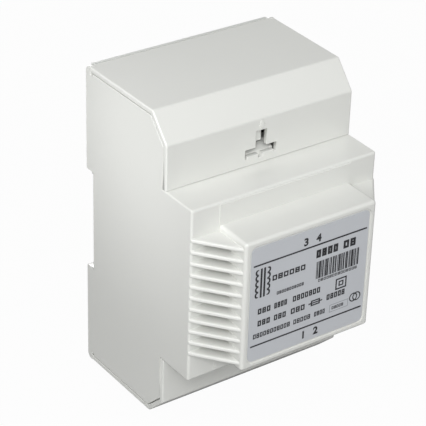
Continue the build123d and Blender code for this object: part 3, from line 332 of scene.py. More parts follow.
def make_layer_lines():
    """Stack of equal layers along Y: the share of the position over the pitch gives a groove at each
    joint, and the layer's own number gives it a random tone."""
    group, source, sink = group_with("layer_lines", {"Pitch": SHEET_THICKNESS}, ("Height", "Tone"))
    place = group.nodes.new("ShaderNodeTexCoord").outputs["Object"]
    split = group.nodes.new("ShaderNodeSeparateXYZ")
    group.links.new(place, split.inputs[0])
    counted = math_node(group, "DIVIDE", split.outputs["Y"], source.outputs["Pitch"])
    share = math_node(group, "FRACT", counted)
    distance = math_node(group, "ABSOLUTE", math_node(group, "SUBTRACT", share, 0.5))
    random = group.nodes.new("ShaderNodeTexWhiteNoise")
    random.noise_dimensions = "1D"
    group.links.new(math_node(group, "FLOOR", counted), random.inputs["W"])
    group.links.new(math_node(group, "LESS_THAN", distance, SHEET_FACE_HALF), sink.inputs["Height"])
    group.links.new(random.outputs["Value"], sink.inputs["Tone"])
    return group


def make_drawn_lines():
    """Fine lines that rolling, drawing or turning leaves: noise drawn out along X."""
    group, source, sink = group_with(
        "drawn_lines", {"Across": LINES_ACROSS, "Along": LINES_ALONG}, ("Height",),
    )
    place = group.nodes.new("ShaderNodeTexCoord").outputs["Object"]
    combine = group.nodes.new("ShaderNodeCombineXYZ")
    group.links.new(source.outputs["Along"], combine.inputs[0])
    group.links.new(source.outputs["Across"], combine.inputs[1])
    group.links.new(source.outputs["Across"], combine.inputs[2])
    stretched = group.nodes.new("ShaderNodeVectorMath")
    stretched.operation = "MULTIPLY"
    group.links.new(place, stretched.inputs[0])
    group.links.new(combine.outputs[0], stretched.inputs[1])
    group.links.new(noise(group, stretched.outputs[0], scale=1.0, detail=2.0), sink.inputs["Height"])
    return group


moulded_skin = make_moulded_skin()
layer_lines = make_layer_lines()
drawn_lines = make_drawn_lines()


# Materials, with each tone as a screen colour of red, green and blue from 0 to 255

PLASTIC_RUB = (-0.04, 0.06)
METAL_RUB = (-0.08, 0.1)
FINE_BUMP = 0.02 * MM
SHEET_BUMP = 0.06 * MM
GLASS_BUMP = 0.01 * MM
REFRACTION = 1.5


def from_screen(tone):
    """Linear colour of a screen colour: the standard curve with its straight foot."""
    share = np.array(tone) / 255
    linear = np.where(share <= 0.04045, share / 12.92, ((share + 0.055) / 1.055) ** 2.4)
    return (*linear, 1.0)


def plain_material(name):
    """Material with its tree and its shader."""
    material = bpy.data.materials.new(name)
    material.use_nodes = True
    tree = material.node_tree
    return material, tree, tree.nodes["Principled BSDF"]


def placed(tree, group, **values):
    """A shader group in a material, with its inputs set."""
    node = tree.nodes.new("ShaderNodeGroup")
    node.node_tree = group
    for socket, value in values.items():
        node.inputs[socket.replace("_", " ")].default_value = value
    return node


def tone_between(tree, mask, dark, light):
    """Colour between two tones by a mask."""
    mix = tree.nodes.new("ShaderNodeMix")
    mix.data_type = "RGBA"
    mix.inputs["A"].default_value = from_screen(dark)
    mix.inputs["B"].default_value = from_screen(light)
    tree.links.new(mask, mix.inputs["Factor"])
    return mix.outputs["Result"]


def spread(tree, mask, low, high):
    """Value from low to high as the mask goes from 0 to 1."""
    return math_node(tree, "ADD", math_node(tree, "MULTIPLY", mask, high - low), low)


def bump_from(tree, height, strength, distance):
    """Normal from a height."""
    bump = tree.nodes.new("ShaderNodeBump")
    bump.inputs["Strength"].default_value = strength
    bump.inputs["Distance"].default_value = distance
    tree.links.new(height, bump.inputs["Height"])
    return bump.outputs["Normal"]


def plastic(name, dark, light, roughness, swell, grain):
    """Moulded plastic between two close tones, with its skin and handling marks in its gloss."""
    material, tree, shader = plain_material(name)
    skin = placed(tree, moulded_skin, Swell=swell, Grain=grain)
    tree.links.new(tone_between(tree, skin.outputs["Tone"], dark, light), shader.inputs["Base Color"])
    gloss = spread(tree, skin.outputs["Rub"], roughness + PLASTIC_RUB[0], roughness + PLASTIC_RUB[1])
    tree.links.new(gloss, shader.inputs["Roughness"])
    tree.links.new(bump_from(tree, skin.outputs["Height"], 0.3, FINE_BUMP), shader.inputs["Normal"])
    shader.inputs["IOR"].default_value = REFRACTION
    return material


def metal(name, dark, light, roughness, across=LINES_ACROSS, along=LINES_ALONG, strength=0.15):
    """Metal with drawn lines and a slow change of tone and roughness."""
    material, tree, shader = plain_material(name)
    skin = placed(tree, moulded_skin)
    lines = placed(tree, drawn_lines, Across=across, Along=along)
    tree.links.new(tone_between(tree, skin.outputs["Tone"], dark, light), shader.inputs["Base Color"])
    gloss = spread(tree, skin.outputs["Rub"], roughness + METAL_RUB[0], roughness + METAL_RUB[1])
    tree.links.new(gloss, shader.inputs["Roughness"])
    tree.links.new(bump_from(tree, lines.outputs["Height"], strength, FINE_BUMP), shader.inputs["Normal"])
    shader.inputs["Metallic"].default_value = 1.0
    return material


def sheet_steel(name, dark, light):
    """Stack of blued electrical sheets, edge on, each a little lighter or darker."""
    material, tree, shader = plain_material(name)
    lines = placed(tree, layer_lines, Pitch=SHEET_THICKNESS)
    tree.links.new(tone_between(tree, lines.outputs["Tone"], dark, light), shader.inputs["Base Color"])
    tree.links.new(spread(tree, lines.outputs["Tone"], 0.36, 0.5), shader.inputs["Roughness"])
    tree.links.new(bump_from(tree, lines.outputs["Height"], 0.8, SHEET_BUMP), shader.inputs["Normal"])
    shader.inputs["Metallic"].default_value = 0.9
    return material


def clear_glass(name):
    """Clear tube glass with a trace of surface waviness."""
    material, tree, shader = plain_material(name)
    skin = placed(tree, moulded_skin, Swell=1.0, Grain=0.0)
    tree.links.new(spread(tree, skin.outputs["Rub"], 0.02, 0.06), shader.inputs["Roughness"])
    shader.inputs["Transmission Weight"].default_value = 1.0
    shader.inputs["IOR"].default_value = REFRACTION
    tree.links.new(bump_from(tree, skin.outputs["Height"], 0.2, GLASS_BUMP), shader.inputs["Normal"])
    return material


def ink(name, dense, thin):
    """Printed ink, a little uneven in density."""
    material, tree, shader = plain_material(name)
    skin = placed(tree, moulded_skin, Swell=0.2, Grain=1.0)
    tree.links.new(tone_between(tree, skin.outputs["Rub"], dense, thin), shader.inputs["Base Color"])
    tree.links.new(spread(tree, skin.outputs["Rub"], 0.35, 0.5), shader.inputs["Roughness"])
    return material


# Name, dark tone, light tone, roughness, swell and grain
SHELL_LOOK = ((222, 223, 219), (225, 226, 222), 0.20, 0.3, 0.1)
housing_plastic = plastic("housing_plastic", *SHELL_LOOK)
cover_plastic = plastic("cover_plastic", *SHELL_LOOK)
base_plastic = plastic("base_plastic", (206, 208, 205), (214, 216, 212), 0.40, 0.3, 0.6)
latch_plastic = plastic("latch_plastic", (186, 188, 187), (196, 198, 196), 0.42, 0.3, 0.7)
former_plastic = plastic("former_plastic", (228, 226, 214), (236, 234, 224), 0.48, 0.4, 0.8)
terminal_plastic = plastic("terminal_plastic", (62, 64, 67), (74, 76, 79), 0.5, 0.3, 1.0)
label_foil = plastic("label_foil", (193, 196, 201), (199, 202, 206), 0.34, 0.2, 0.3)
yellow_tape = plastic("yellow_tape", (214, 178, 60), (228, 194, 80), 0.3, 1.0, 0.3)
brown_sleeve = plastic("brown_sleeve", (92, 58, 40), (104, 68, 48), 0.42, 0.5, 0.4)
blue_sleeve = plastic("blue_sleeve", (38, 62, 128), (48, 74, 144), 0.42, 0.5, 0.4)

# Name, dense or dark tone, thin or light tone, and a metal's roughness and lines
print_ink = ink("print_ink", (22, 22, 24), (44, 44, 48))
faint_ink = ink("faint_ink", (136, 140, 146), (150, 153, 158))
zinc = metal("zinc_plating", (188, 188, 186), (208, 208, 206), 0.3)
nickel = metal("nickel_plating", (196, 192, 184), (214, 210, 202), 0.22)
brass = metal("rolled_brass", (196, 168, 96), (214, 186, 112), 0.3)
spring_wire = metal("spring_wire", (172, 172, 174), (196, 196, 198), 0.28)
solder = metal("solder", (186, 186, 188), (206, 206, 208), 0.32, across=400.0, along=400.0, strength=0.3)
copper_wire = metal("enamelled_copper", (168, 92, 52), (190, 108, 62), 0.26)
core_sheet = sheet_steel("core_sheet", (78, 80, 88), (112, 114, 122))
tube_glass = clear_glass("tube_glass")


# Mouldings with rounded edges

def moulding(node, body, material, width):
    """Rounded copy of a packed shell that stands for it."""
    obj = new_object(node + "_moulding", merged_copy(node, width), body, material)
    finish_edges(obj, width)
    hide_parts(node)


moulding("housing", "housing", housing_plastic, SHELL_ROUNDING)
moulding("top_cover", "top_cover", cover_plastic, SHELL_ROUNDING)
moulding("bottom_cover", "bottom_cover", cover_plastic, SHELL_ROUNDING)
moulding("rear_base", "housing", base_plastic, SMALL_ROUNDING)
moulding("rail_latch", "rail_latch", latch_plastic, SMALL_ROUNDING)


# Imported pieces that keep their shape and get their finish

def dress(names, material):
    """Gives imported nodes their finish."""
    for name in names:
        slots = nodes[name].data.materials
        slots.clear()
        slots.append(material)


dress(["rating_label"], label_foil)
dress(["core_e_stack", "core_i_stack"], core_sheet)
dress(["coil_former"], former_plastic)
dress(["primary_tape", "secondary_tape"], yellow_tape)
dress(["coil_pins"], zinc)
dress([f"{side}_terminal_block" for side in SIDES], terminal_plastic)
dress([f"{side}_clamp_cage_{i}" for side in SIDES for i in (1, 2)], nickel)
dress([f"{side}_contact_strip_{i}" for side in SIDES for i in (1, 2)], brass)
dress(["fuse_cap_1", "fuse_cap_2", "fuse_clip_1", "fuse_clip_2"], nickel)
dress(["fuse_glass"], tube_glass)
dress(["primary_lead_1", "primary_lead_2"], brown_sleeve)
dress(["secondary_lead_1", "secondary_lead_2", "secondary_lead_3"], blue_sleeve)


# Screws with cross recess and thread, in millimetres

SCREW_SIDES = 72
ROWS_PER_TURN = 8
RECESS_REACH = 1.5
RECESS_HALF = 0.45
RECESS_DEPTH = 0.8
RIM_DEPTH = 0.05
RIM_WIDTH = 0.04
FLANK_SLOPE = 1.5
ROOT_SHARE = 0.2
POINT_SHARE = 0.25
LEAST_COSINE = 1e-6

# Floor and wall of the recess as shares of the cross's outline and of the depth
RECESS_ROWS = ((0.0, 1.0), (0.5, 1.0), (0.92, 0.9))

# A head is a profile of radius and depth below its face; shank, crest and root are radii
TERMINAL_SCREW = {
    "head": ((2.2, 0.0), (2.5, 0.13), (2.64, 0.32), (2.7, 0.55), (2.7, 1.92), (2.62, 2.0), (1.85, 2.0)),
    "shank": 1.4, "thread_start": 2.1, "crest": 1.75, "root": 1.4, "pitch": 0.6, "tip": 0.6,
}
BASE_SCREW = {
    "head": ((2.62, 0.0), (2.78, 0.04), (2.8, 0.12), (2.1, 0.72), (1.5, 1.28), (1.25, 1.5)),
    "shank": 1.0, "thread_start": 1.7, "crest": 1.45, "root": 1.0, "pitch": 1.1, "tip": 2.4,
}
CORE_SCREW = {
    "head": ((2.9, 0.0), (3.3, 0.12), (3.6, 0.42), (3.72, 0.8), (3.75, 1.1), (3.75, 2.5), (3.65, 2.6),
             (1.9, 2.6)),
    "shank": 1.9, "thread_start": 27.0, "crest": 1.9, "root": 1.45, "pitch": 1.3, "tip": 0.6,
}


def cross_radius(angle):
    """Distance from the middle of a cross recess to its outline at an angle: the longer of what its
    two bars give, each the nearer of its end and its side."""
    across = np.maximum(np.abs(np.cos(angle)), LEAST_COSINE)
    along = np.maximum(np.abs(np.sin(angle)), LEAST_COSINE)
    level = np.minimum(RECESS_REACH / across, RECESS_HALF / along)
    upright = np.minimum(RECESS_HALF / across, RECESS_REACH / along)
    return np.maximum(level, upright)


def screw_part(kind, length, place, inwards):
    """Screw along Y: rows of radii over the angle a at depths h below the head's face. The recess rows
    follow the cross, the head rows the profile, and the thread rows go from crest to root and back with
    the share of h / pitch - a / turn, and narrow over the tip."""
    angle = np.linspace(0, 2 * np.pi, SCREW_SIDES, endpoint=False)
    cross = cross_radius(angle)
    zero = np.zeros(SCREW_SIDES)
    rows = [(share * cross, level * RECESS_DEPTH) for share, level in RECESS_ROWS]
    rows += [(cross, RIM_DEPTH), (cross + RIM_WIDTH, 0.0)]
    rows += [(zero + radius, height) for radius, height in kind["head"]]
    start, crest, root, pitch = (kind[key] for key in ("thread_start", "crest", "root", "pitch"))
    rows.append((zero + kind["shank"], start))
    count = int((length - start) / pitch * ROWS_PER_TURN)
    for height in np.linspace(start, length, count)[1:]:
        share = np.abs(2 * ((height / pitch - angle / (2 * np.pi)) % 1) - 1)
        ridge = root + (crest - root) * np.clip(FLANK_SLOPE * share - ROOT_SHARE, 0, 1)
        taper = POINT_SHARE + (1 - POINT_SHARE) * min(1.0, (length - height) / kind["tip"])
        rows.append((ridge * taper, height))
    rows.append((zero, length))
    radius = np.stack([r for r, _ in rows])
    height = np.array([h for _, h in rows])[:, None] + np.zeros(SCREW_SIDES)
    x = radius * np.cos(angle)
    z = radius * np.sin(angle)
    points = np.array(place) + np.stack([x, inwards * height, z], axis=-1) * MM
    return points, grid_faces(len(rows), SCREW_SIDES, wrap_columns=True)


def screw_group(node, kind, inwards):
    """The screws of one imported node, at the four corners of its box or alone in its middle. Inwards is
    the way along Y that they are driven."""
    low, high = box_of(node)
    head = max(radius for radius, _ in kind["head"]) * MM
    middle = (low + high) / 2
    reach = (high - low) / 2 - head
    signs = (-1, 1) if reach[0] > head else (0,)
    face_y = low[1] if inwards > 0 else high[1]
    length = (high[1] - low[1]) / MM
    places = [(middle[0] + i * reach[0], face_y, middle[2] + j * reach[2]) for i in signs for j in signs]
    mesh = joined(node + "_turned", [screw_part(kind, length, place, inwards) for place in places])
    obj = new_object(node + "_turned", mesh, "housing", zinc)
    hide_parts(node)
    shading = obj.modifiers.new("shading", "WEIGHTED_NORMAL")
    shading.weight = 100


for side in SIDES:
    for i in (1, 2):
        screw_group(f"{side}_terminal_screw_{i}", TERMINAL_SCREW, 1)
screw_group("base_screws", BASE_SCREW, -1)
screw_group("core_screws", CORE_SCREW, -1)


# Latch spring with closed end turns

SPRING_WIRE = 0.5 * MM
SPRING_TURNS = 8
STEPS_PER_TURN = 36
SPRING_WIRE_SIDES = 14


def make_spring():
    """Wire carried along a helix: radius constant, height eased so that the first and last turn lie
    nearly flat, one wire thickness high."""
    low, high = box_of("latch_spring")
    middle = (low + high) / 2
    radius = (high[0] - low[0] - SPRING_WIRE) / 2
    turn = np.linspace(0, SPRING_TURNS, STEPS_PER_TURN * SPRING_TURNS + 1)
    foot = low[2] + SPRING_WIRE / 2
    head = high[2] - SPRING_WIRE / 2
    stations = (0, 1, SPRING_TURNS - 1, SPRING_TURNS)
    height = np.interp(turn, stations, (foot, foot + SPRING_WIRE, head - SPRING_WIRE, head))
    angle = 2 * np.pi * turn
    x = middle[0] + radius * np.cos(angle)
    y = middle[1] + radius * np.sin(angle)
    wire = tube_part(np.stack([x, y, height], axis=-1), SPRING_WIRE / 2, SPRING_WIRE_SIDES)
    mesh = joined("latch_spring_wire", [wire])
    obj = new_object("latch_spring_wire", mesh, "housing", spring_wire)
    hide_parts("latch_spring")
    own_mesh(obj)


make_spring()


# Windings, turn beside turn

WIRE_PITCH = 0.55 * MM
GROOVE_SHARE = 0.3
ROWS_PER_WIRE = 6
WINDING_CORNER = 8.15 * MM
FORMER_CORNER = 0.4 * MM
FORMER_HALF = (12.15 * MM, 18.5 * MM)
ARC_STEPS = 9


def rounded_rectangle(half_x, half_y, corner):
    """Outline of arcs only, quarter after quarter, with the straight sides between them."""
    angle = np.linspace(0, np.pi / 2, ARC_STEPS)
    quarters = []
    for k, (sx, sy) in enumerate(((1, 1), (-1, 1), (-1, -1), (1, -1))):
        turned = angle + k * np.pi / 2
        centre = np.array([sx * (half_x - corner), sy * (half_y - corner)])
        quarters.append(centre + corner * np.stack([np.cos(turned), np.sin(turned)], axis=-1))
    return np.concatenate(quarters)


def make_winding(node):
    """Wound ring: at each height z its outline is drawn in by the share 1 - |sin(pi z / pitch)| of the
    groove between two turns, and is plain on the former's side."""
    low, high = box_of(node)
    middle = (low + high) / 2
    half = (high - low) / 2
    turns = int((high[2] - low[2]) / WIRE_PITCH)
    share = np.linspace(0, turns, turns * ROWS_PER_WIRE + 1)
    heights = low[2] + share / turns * (high[2] - low[2])
    inset = GROOVE_SHARE * WIRE_PITCH * (1 - np.abs(np.sin(np.pi * share)))
    outer = [rounded_rectangle(half[0] - d, half[1] - d, WINDING_CORNER) for d in inset]
    inner = rounded_rectangle(*FORMER_HALF, FORMER_CORNER)
    rows = list(zip(outer, heights)) + [(inner, high[2]), (inner, low[2])]
    points = [np.column_stack([outline + middle[:2], np.full(len(outline), z)]) for outline, z in rows]
    faces = grid_faces(len(rows), 4 * ARC_STEPS, wrap_rows=True, wrap_columns=True)
    mesh = joined(node + "_wire", [(points, faces)])
    obj = new_object(node + "_wire", mesh, "housing", copper_wire)
    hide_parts(node)


for side in SIDES:
    make_winding(side + "_winding")


# Solder on the terminal tags and the wire inside the fuse

def dome_part(centre, radii, rise, rows=7, columns=20):
    """Half ellipsoid: at the polar angle t, the ring centre + radii cos t at the height rise sin t."""
    polar = np.linspace(0, np.pi / 2, rows)[:, None]
    angle = np.linspace(0, 2 * np.pi, columns, endpoint=False)[None, :]
    x = radii[0] * np.cos(polar) * np.cos(angle)
    y = radii[1] * np.cos(polar) * np.sin(angle)
    z = rise * np.sin(polar) + np.zeros_like(angle)
    points = np.array(centre) + np.stack([x, y, z], axis=-1)
    faces = grid_faces(rows, columns, wrap_columns=True).tolist()
    faces.append(list(range(columns)))
    return points, faces


SOLDER_RADII = (1.5 * MM, 1.3 * MM)
SOLDER_RISE = 1.5 * MM
SOLDER_FROM_TAG_END = 2.4 * MM
TAG_THICKNESS = 1.0 * MM

for side, up in (("primary", -1), ("secondary", 1)):
    domes = []
    for i in (1, 2):
        low, high = box_of(f"{side}_contact_strip_{i}")
        tag_z = low[2] + TAG_THICKNESS if up > 0 else high[2] - TAG_THICKNESS
        centre = ((low[0] + high[0]) / 2, high[1] - SOLDER_FROM_TAG_END, tag_z)
        domes.append(dome_part(centre, SOLDER_RADII, up * SOLDER_RISE))
    new_object(side + "_solder", joined(side + "_solder", domes), "housing", solder)

FUSE_WIRE_RADIUS = 0.09 * MM
FUSE_WIRE_SAG = 0.35 * MM
FUSE_WIRE_STEPS = 40
FUSE_WIRE_SIDES = 10


def make_fuse_wire():
    """Thin wire from cap to cap with a slight sag, a half sine over its length."""
    low, high = box_of("fuse_glass")
    middle = (low + high) / 2
    share = np.linspace(0, 1, FUSE_WIRE_STEPS)
    x = low[0] + share * (high[0] - low[0])
    z = middle[2] - FUSE_WIRE_SAG * np.sin(np.pi * share)
    route = np.stack([x, np.full(FUSE_WIRE_STEPS, middle[1]), z], axis=-1)
    mesh = joined("fuse_wire", [tube_part(route, FUSE_WIRE_RADIUS, FUSE_WIRE_SIDES)])
    new_object("fuse_wire", mesh, "housing", nickel)


make_fuse_wire()


# Print on the label: rules, hollow blocks, a bar block, signs and terminal numbers

LABEL_FACE_Y = box_of("rating_label")[0][1]
INK_THICKNESS = 0.012 * MM
FIGURE_HEIGHT = 2.5 * MM
FIGURE_BOLDNESS = 0.06
FONT_FIGURE_SHARE = 0.7
BLOCK_SHARE = 0.8
BLOCKS_PER_BAR = 3

# Places of the print in millimetres, along the frame's own X and Z
RULE_LEFT = -21.3
RULE_RIGHT = 21.4
RULE_STROKE = 0.55
RULE_HEIGHTS = (13.8, -14.7)
WORDS = (
    # x0, x1, foot, head, signs, stroke
    (2.2, 10.9, 9.1, 11.9, 4, 0.8), (12.6, 17.8, 9.1, 11.9, 2, 0.8),
    (-14.1, -1.4, 6.6, 8.5, 6, 0.5), (-12.2, -1.9, 1.1, 2.2, 11, 0.26), (3.5, 18.7, 0.25, 1.25, 14, 0.24),
    (-19.0, -14.0, -3.7, -1.7, 3, 0.5), (-12.9, -7.9, -3.7, -1.7, 4, 0.44),
    (-5.9, 4.8, -3.7, -1.7, 7, 0.46), (-18.9, -14.0, -8.0, -6.0, 3, 0.5),
    (-12.8, -8.0, -8.0, -6.0, 3, 0.48), (-6.4, -0.8, -8.0, -6.0, 3, 0.48), (7.3, 14.6, -7.7, -5.7, 5, 0.46),
    (-20.4, -6.3, -12.15, -10.45, 11, 0.36), (-5.2, 1.5, -12.15, -10.45, 5, 0.36),
    (2.8, 7.1, -12.15, -10.45, 4, 0.34), (9.6, 14.3, -11.9, -10.8, 5, 0.24),
)

# Bar block: x0, x1, foot, head and number of bars
BAR_BLOCK = (2.5, 19.0, 1.6, 7.7, 27)
NARROWEST_BAR = 0.35
WIDE_INK = 0.84
NARROW_INK = 0.58

SIGN_FRAMES = (
    # x0, x1, foot, head, stroke: the square in a square, and the fuse
    (10.5, 14.8, -5.15, -1.15, 0.5), (11.7, 13.6, -4.05, -2.25, 0.45), (1.2, 4.7, -7.8, -5.8, 0.48),
)
SIGN_STRIPS = (
    # x0, x1, foot, head: the fuse's line, and the core between the coils
    (0.3, 1.2, -7.02, -6.58), (1.68, 4.22, -7.02, -6.58), (4.7, 5.6, -7.02, -6.58),
    (-18.6, -17.9, 2.2, 12.4), (-17.4, -16.7, 2.2, 12.4),
)

# Coil sign: each coil's line and the side that it bulges to, and the heights of its half rings
COILS = ((-19.2, -1), (-16.1, 1))
COIL_HEIGHTS = 3.35 + 1.98 * np.arange(5)
COIL_RADIUS = 0.99
COIL_STROKE = 0.6
COIL_REACH = 0.97
COIL_STEPS = 14

# Two rings that overlap
RING_PLACES = ((18.0, -10.2), (19.3, -10.2))
RING_RADIUS = 1.4
RING_STROKE = 0.4
RING_STEPS = 29

# Thin frame in pale ink, and the numbers with their middle and foot
FAINT_FRAME = (8.7, 16.0, -12.7, -10.0, 0.18)
NUMBERS = (("upper_numbers", "3   4", 0.4, 15.0), ("lower_numbers", "1   2", 1.3, -18.6))


def strip(x0, x1, z0, z1):
    """Band between the lower and the upper side of a rectangle."""
    return np.array([[(x0, z0), (x1, z0)], [(x0, z1), (x1, z1)]])


def frame_band(x0, x1, z0, z1, stroke):
    """Closed band between a rectangle and the same one drawn in by the stroke."""
    outer = np.array([(x0, z0), (x1, z0), (x1, z1), (x0, z1), (x0, z0)])
    inner = np.clip(outer, (x0 + stroke, z0 + stroke), (x1 - stroke, z1 - stroke))
    return np.stack([inner, outer])


def arc_band(x, z, radius, stroke, start, end, steps):
    """Band between two radii about a point, from one angle to another."""
    angle = np.linspace(start, end, steps)
    radii = np.array([radius - stroke / 2, radius + stroke / 2])[:, None]
    return np.stack([x + radii * np.cos(angle), z + radii * np.sin(angle)], axis=-1)


def block_word(x0, x1, z0, z1, count, stroke):
    """A row of hollow blocks that stands for a word of count signs; every third has a middle bar."""
    pitch = (x1 - x0) / count
    middle = (z0 + z1) / 2
    bands = []
    for i in range(count):
        left = x0 + i * pitch
        right = left + BLOCK_SHARE * pitch
        bands.append(frame_band(left, right, z0, z1, stroke))
        if i % BLOCKS_PER_BAR == 1:
            bands.append(strip(left + stroke, right - stroke, middle - stroke / 2, middle + stroke / 2))
    return bands


def coil_bands(x, side):
    """Half rings above each other that bulge to one side, each held to its own stretch of the height."""
    bands = []
    for z in COIL_HEIGHTS:
        ring = arc_band(x, z, COIL_RADIUS, COIL_STROKE, -np.pi / 2, np.pi / 2, COIL_STEPS)
        ring[..., 0] = x + side * (ring[..., 0] - x)
        ring[..., 1] = np.clip(ring[..., 1], z - COIL_REACH, z + COIL_REACH)
        bands.append(ring)
    return bands


def band_part(band):
    """Thin solid band: at each station the loop front-inner, front-outer, back-outer, back-inner."""
    inner, outer = band * MM
    front = LABEL_FACE_Y - INK_THICKNESS
    loop = ((inner, front), (outer, front), (outer, LABEL_FACE_Y), (inner, LABEL_FACE_Y))
    points = np.stack([np.insert(line, 1, y, axis=1) for line, y in loop], axis=1)
    closed = np.allclose(inner[0], inner[-1])
    if closed:
        points = points[:-1]
    faces = grid_faces(len(points), 4, wrap_rows=closed, wrap_columns=True).tolist()
    if not closed:
        last = 4 * (len(points) - 1)
        faces += [[3, 2, 1, 0], [last, last + 1, last + 2, last + 3]]
    return points, faces


def ink_mesh(name, bands):
    """One thin mesh of bands given in label millimetres."""
    return joined(name, [band_part(band) for band in bands])


def number_mesh(name, text, centre_x, foot_z):
    """Plain figures in the built-in face, made bolder and a mesh, and then laid on the label."""
    curve = bpy.data.curves.new(name, "FONT")
    curve.body = text
    curve.size = FIGURE_HEIGHT / FONT_FIGURE_SHARE
    curve.offset = FIGURE_BOLDNESS * FIGURE_HEIGHT
    curve.extrude = INK_THICKNESS / 2
    curve.align_x = "CENTER"
    obj = bpy.data.objects.new(name, curve)
    bpy.context.scene.collection.objects.link(obj)
    bpy.context.view_layer.update()
    mesh = bpy.data.meshes.new_from_object(obj.evaluated_get(bpy.context.evaluated_depsgraph_get()))
    bpy.data.objects.remove(obj)
    mesh.transform(Matrix.Rotation(math.pi / 2, 4, "X"))
    mesh.transform(Matrix.Translation((centre_x, LABEL_FACE_Y - INK_THICKNESS / 2, foot_z)))
    return mesh


def bar_block(x0, x1, z0, z1, count):
    """Block of upright bars: their pitches take five sizes in a fixed turn, and of each pitch the ink
    takes the narrow share, or the wide one on every fourth bar."""
    number = np.arange(count)
    series = NARROWEST_BAR + (1 - NARROWEST_BAR) * ((number * 7 % 5) / 4)
    edges = np.concatenate([[0], np.cumsum(series)]) / series.sum()
    left = x0 + (x1 - x0) * edges[:-1]
    width = (x1 - x0) * np.diff(edges)
    share = np.where(number % 4 == 2, WIDE_INK, NARROW_INK)
    return [strip(a, a + w * s, z0, z1) for a, w, s in zip(left, width, share)]


def label_print():
    """All dark print of the label but its numbers, in one mesh."""
    bands = [strip(RULE_LEFT, RULE_RIGHT, z - RULE_STROKE / 2, z + RULE_STROKE / 2) for z in RULE_HEIGHTS]
    for word in WORDS:
        bands += block_word(*word)
    bands += bar_block(*BAR_BLOCK)
    bands += [frame_band(*place) for place in SIGN_FRAMES]
    bands += [strip(*place) for place in SIGN_STRIPS]
    for x, side in COILS:
        bands += coil_bands(x, side)
    bands += [arc_band(x, z, RING_RADIUS, RING_STROKE, 0, 2 * np.pi, RING_STEPS) for x, z in RING_PLACES]
    return ink_mesh("label_print", bands)


def lay_print(name, mesh, material):
    """Puts a mesh of print onto the label."""
    new_object(name, mesh, "housing", material, smooth=False)


lay_print("label_print", label_print(), print_ink)
lay_print("label_box_print", ink_mesh("label_box_print", [frame_band(*FAINT_FRAME)]), faint_ink)
for name, text, x, z in NUMBERS:
    lay_print(name, number_mesh(name, text, x * MM, z * MM), print_ink)


# Stage

def seen_straight(tree):
    """1 on what the camera sees straight or through glass, and 0 on all other light."""
    path = tree.nodes.new("ShaderNodeLightPath")
    return math_node(tree, "MAXIMUM", path.outputs["Is Camera Ray"], path.outputs["Is Transmission Ray"])


def make_floor():
    """Wide grey floor just under the lowest point; the camera sees it almost white, with a soft
    shadow."""
    floor_z = cad_box[0].z - FLOOR_GAP
    signs = ((-1, -1), (1, -1), (1, 1), (-1, 1))
    corners = [(i * FLOOR_HALF, j * FLOOR_HALF, floor_z) for i, j in signs]
    obj = bpy.data.objects.new("floor", mesh_from("floor", corners, [(0, 1, 2, 3)]))
    bpy.context.scene.collection.objects.link(obj)
    material, tree, shader = plain_material("floor_paper")
    shader.inputs["Base Color"].default_value = FLOOR_COLOUR
    shader.inputs["Roughness"].default_value = FLOOR_ROUGHNESS
    light = tree.nodes.new("ShaderNodeEmission")
    light.inputs["Strength"].default_value = 1.0
    share = math_node(tree, "MULTIPLY", seen_straight(tree), FLOOR_WHITE_SHARE)
    mix = tree.nodes.new("ShaderNodeMixShader")
    tree.links.new(share, mix.inputs[0])
    tree.links.new(shader.outputs[0], mix.inputs[1])
    tree.links.new(light.outputs[0], mix.inputs[2])
    tree.links.new(mix.outputs[0], tree.nodes["Material Output"].inputs[0])
    obj.data.materials.append(material)


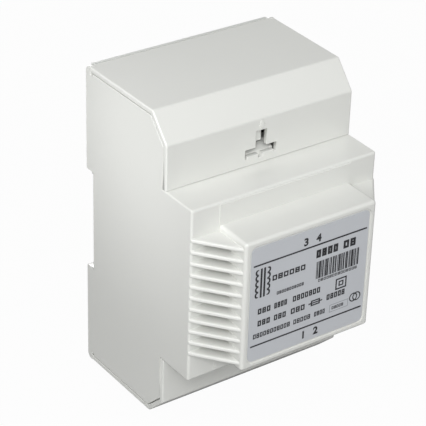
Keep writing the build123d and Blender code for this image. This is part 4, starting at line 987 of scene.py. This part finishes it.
def make_world():
    """Even soft surroundings; seen straight they are white."""
    world = bpy.data.worlds.new("surroundings")
    bpy.context.scene.world = world
    world.use_nodes = True
    tree = world.node_tree
    background = tree.nodes["Background"]
    extra = math_node(tree, "MULTIPLY", seen_straight(tree), 1.0 - WORLD_STRENGTH)
    background.inputs["Color"].default_value = (1, 1, 1, 1)
    tree.links.new(math_node(tree, "ADD", extra, WORLD_STRENGTH), background.inputs["Strength"])


def place_lamp(lamp, place, target):
    """Puts a lamp into the scene and turns it to its target."""
    obj = bpy.data.objects.new(lamp.name, lamp)
    obj.location = place
    direction = Vector(target) - Vector(place)
    obj.rotation_euler = direction.to_track_quat("-Z", "Y").to_euler()
    bpy.context.scene.collection.objects.link(obj)


def area_light(name, place, size, watts):
    """Square soft light that faces the object."""
    lamp = bpy.data.lights.new(name, "AREA")
    lamp.size = size
    lamp.energy = watts
    place_lamp(lamp, place, LIGHT_TARGET)


def side_spot():
    """Soft round pool of light on the upper part of the left side."""
    lamp = bpy.data.lights.new("side_spot", "SPOT")
    lamp.energy = SIDE_SPOT_WATTS
    lamp.shadow_soft_size = SIDE_SPOT_RADIUS
    lamp.spot_size = SIDE_SPOT_ANGLE
    lamp.spot_blend = SIDE_SPOT_BLEND
    place_lamp(lamp, SIDE_SPOT_PLACE, SIDE_SPOT_TARGET)


def make_camera():
    """Long lens at the reference place, turned by its own three directions."""
    camera = bpy.data.cameras.new("camera")
    camera.sensor_width = SENSOR_WIDTH
    camera.lens = FOCAL_PIXELS / IMAGE_WIDTH * SENSOR_WIDTH
    camera.clip_start = 0.05
    camera.clip_end = 20
    obj = bpy.data.objects.new("camera", camera)
    right = Vector(CAMERA_RIGHT).normalized()
    back = -Vector(CAMERA_FORWARD).normalized()
    up = back.cross(right).normalized()
    turn = Matrix((right, up, back)).transposed().to_4x4()
    obj.matrix_world = Matrix.Translation(CAMERA_PLACE) @ turn
    bpy.context.scene.collection.objects.link(obj)
    bpy.context.scene.camera = obj


make_floor()
make_world()
area_light("crisp_light", *CRISP_LIGHT)
area_light("soft_light", *SOFT_LIGHT)
area_light("back_light", *BACK_LIGHT)
side_spot()
make_camera()
bpy.context.scene.view_settings.view_transform = "Standard"
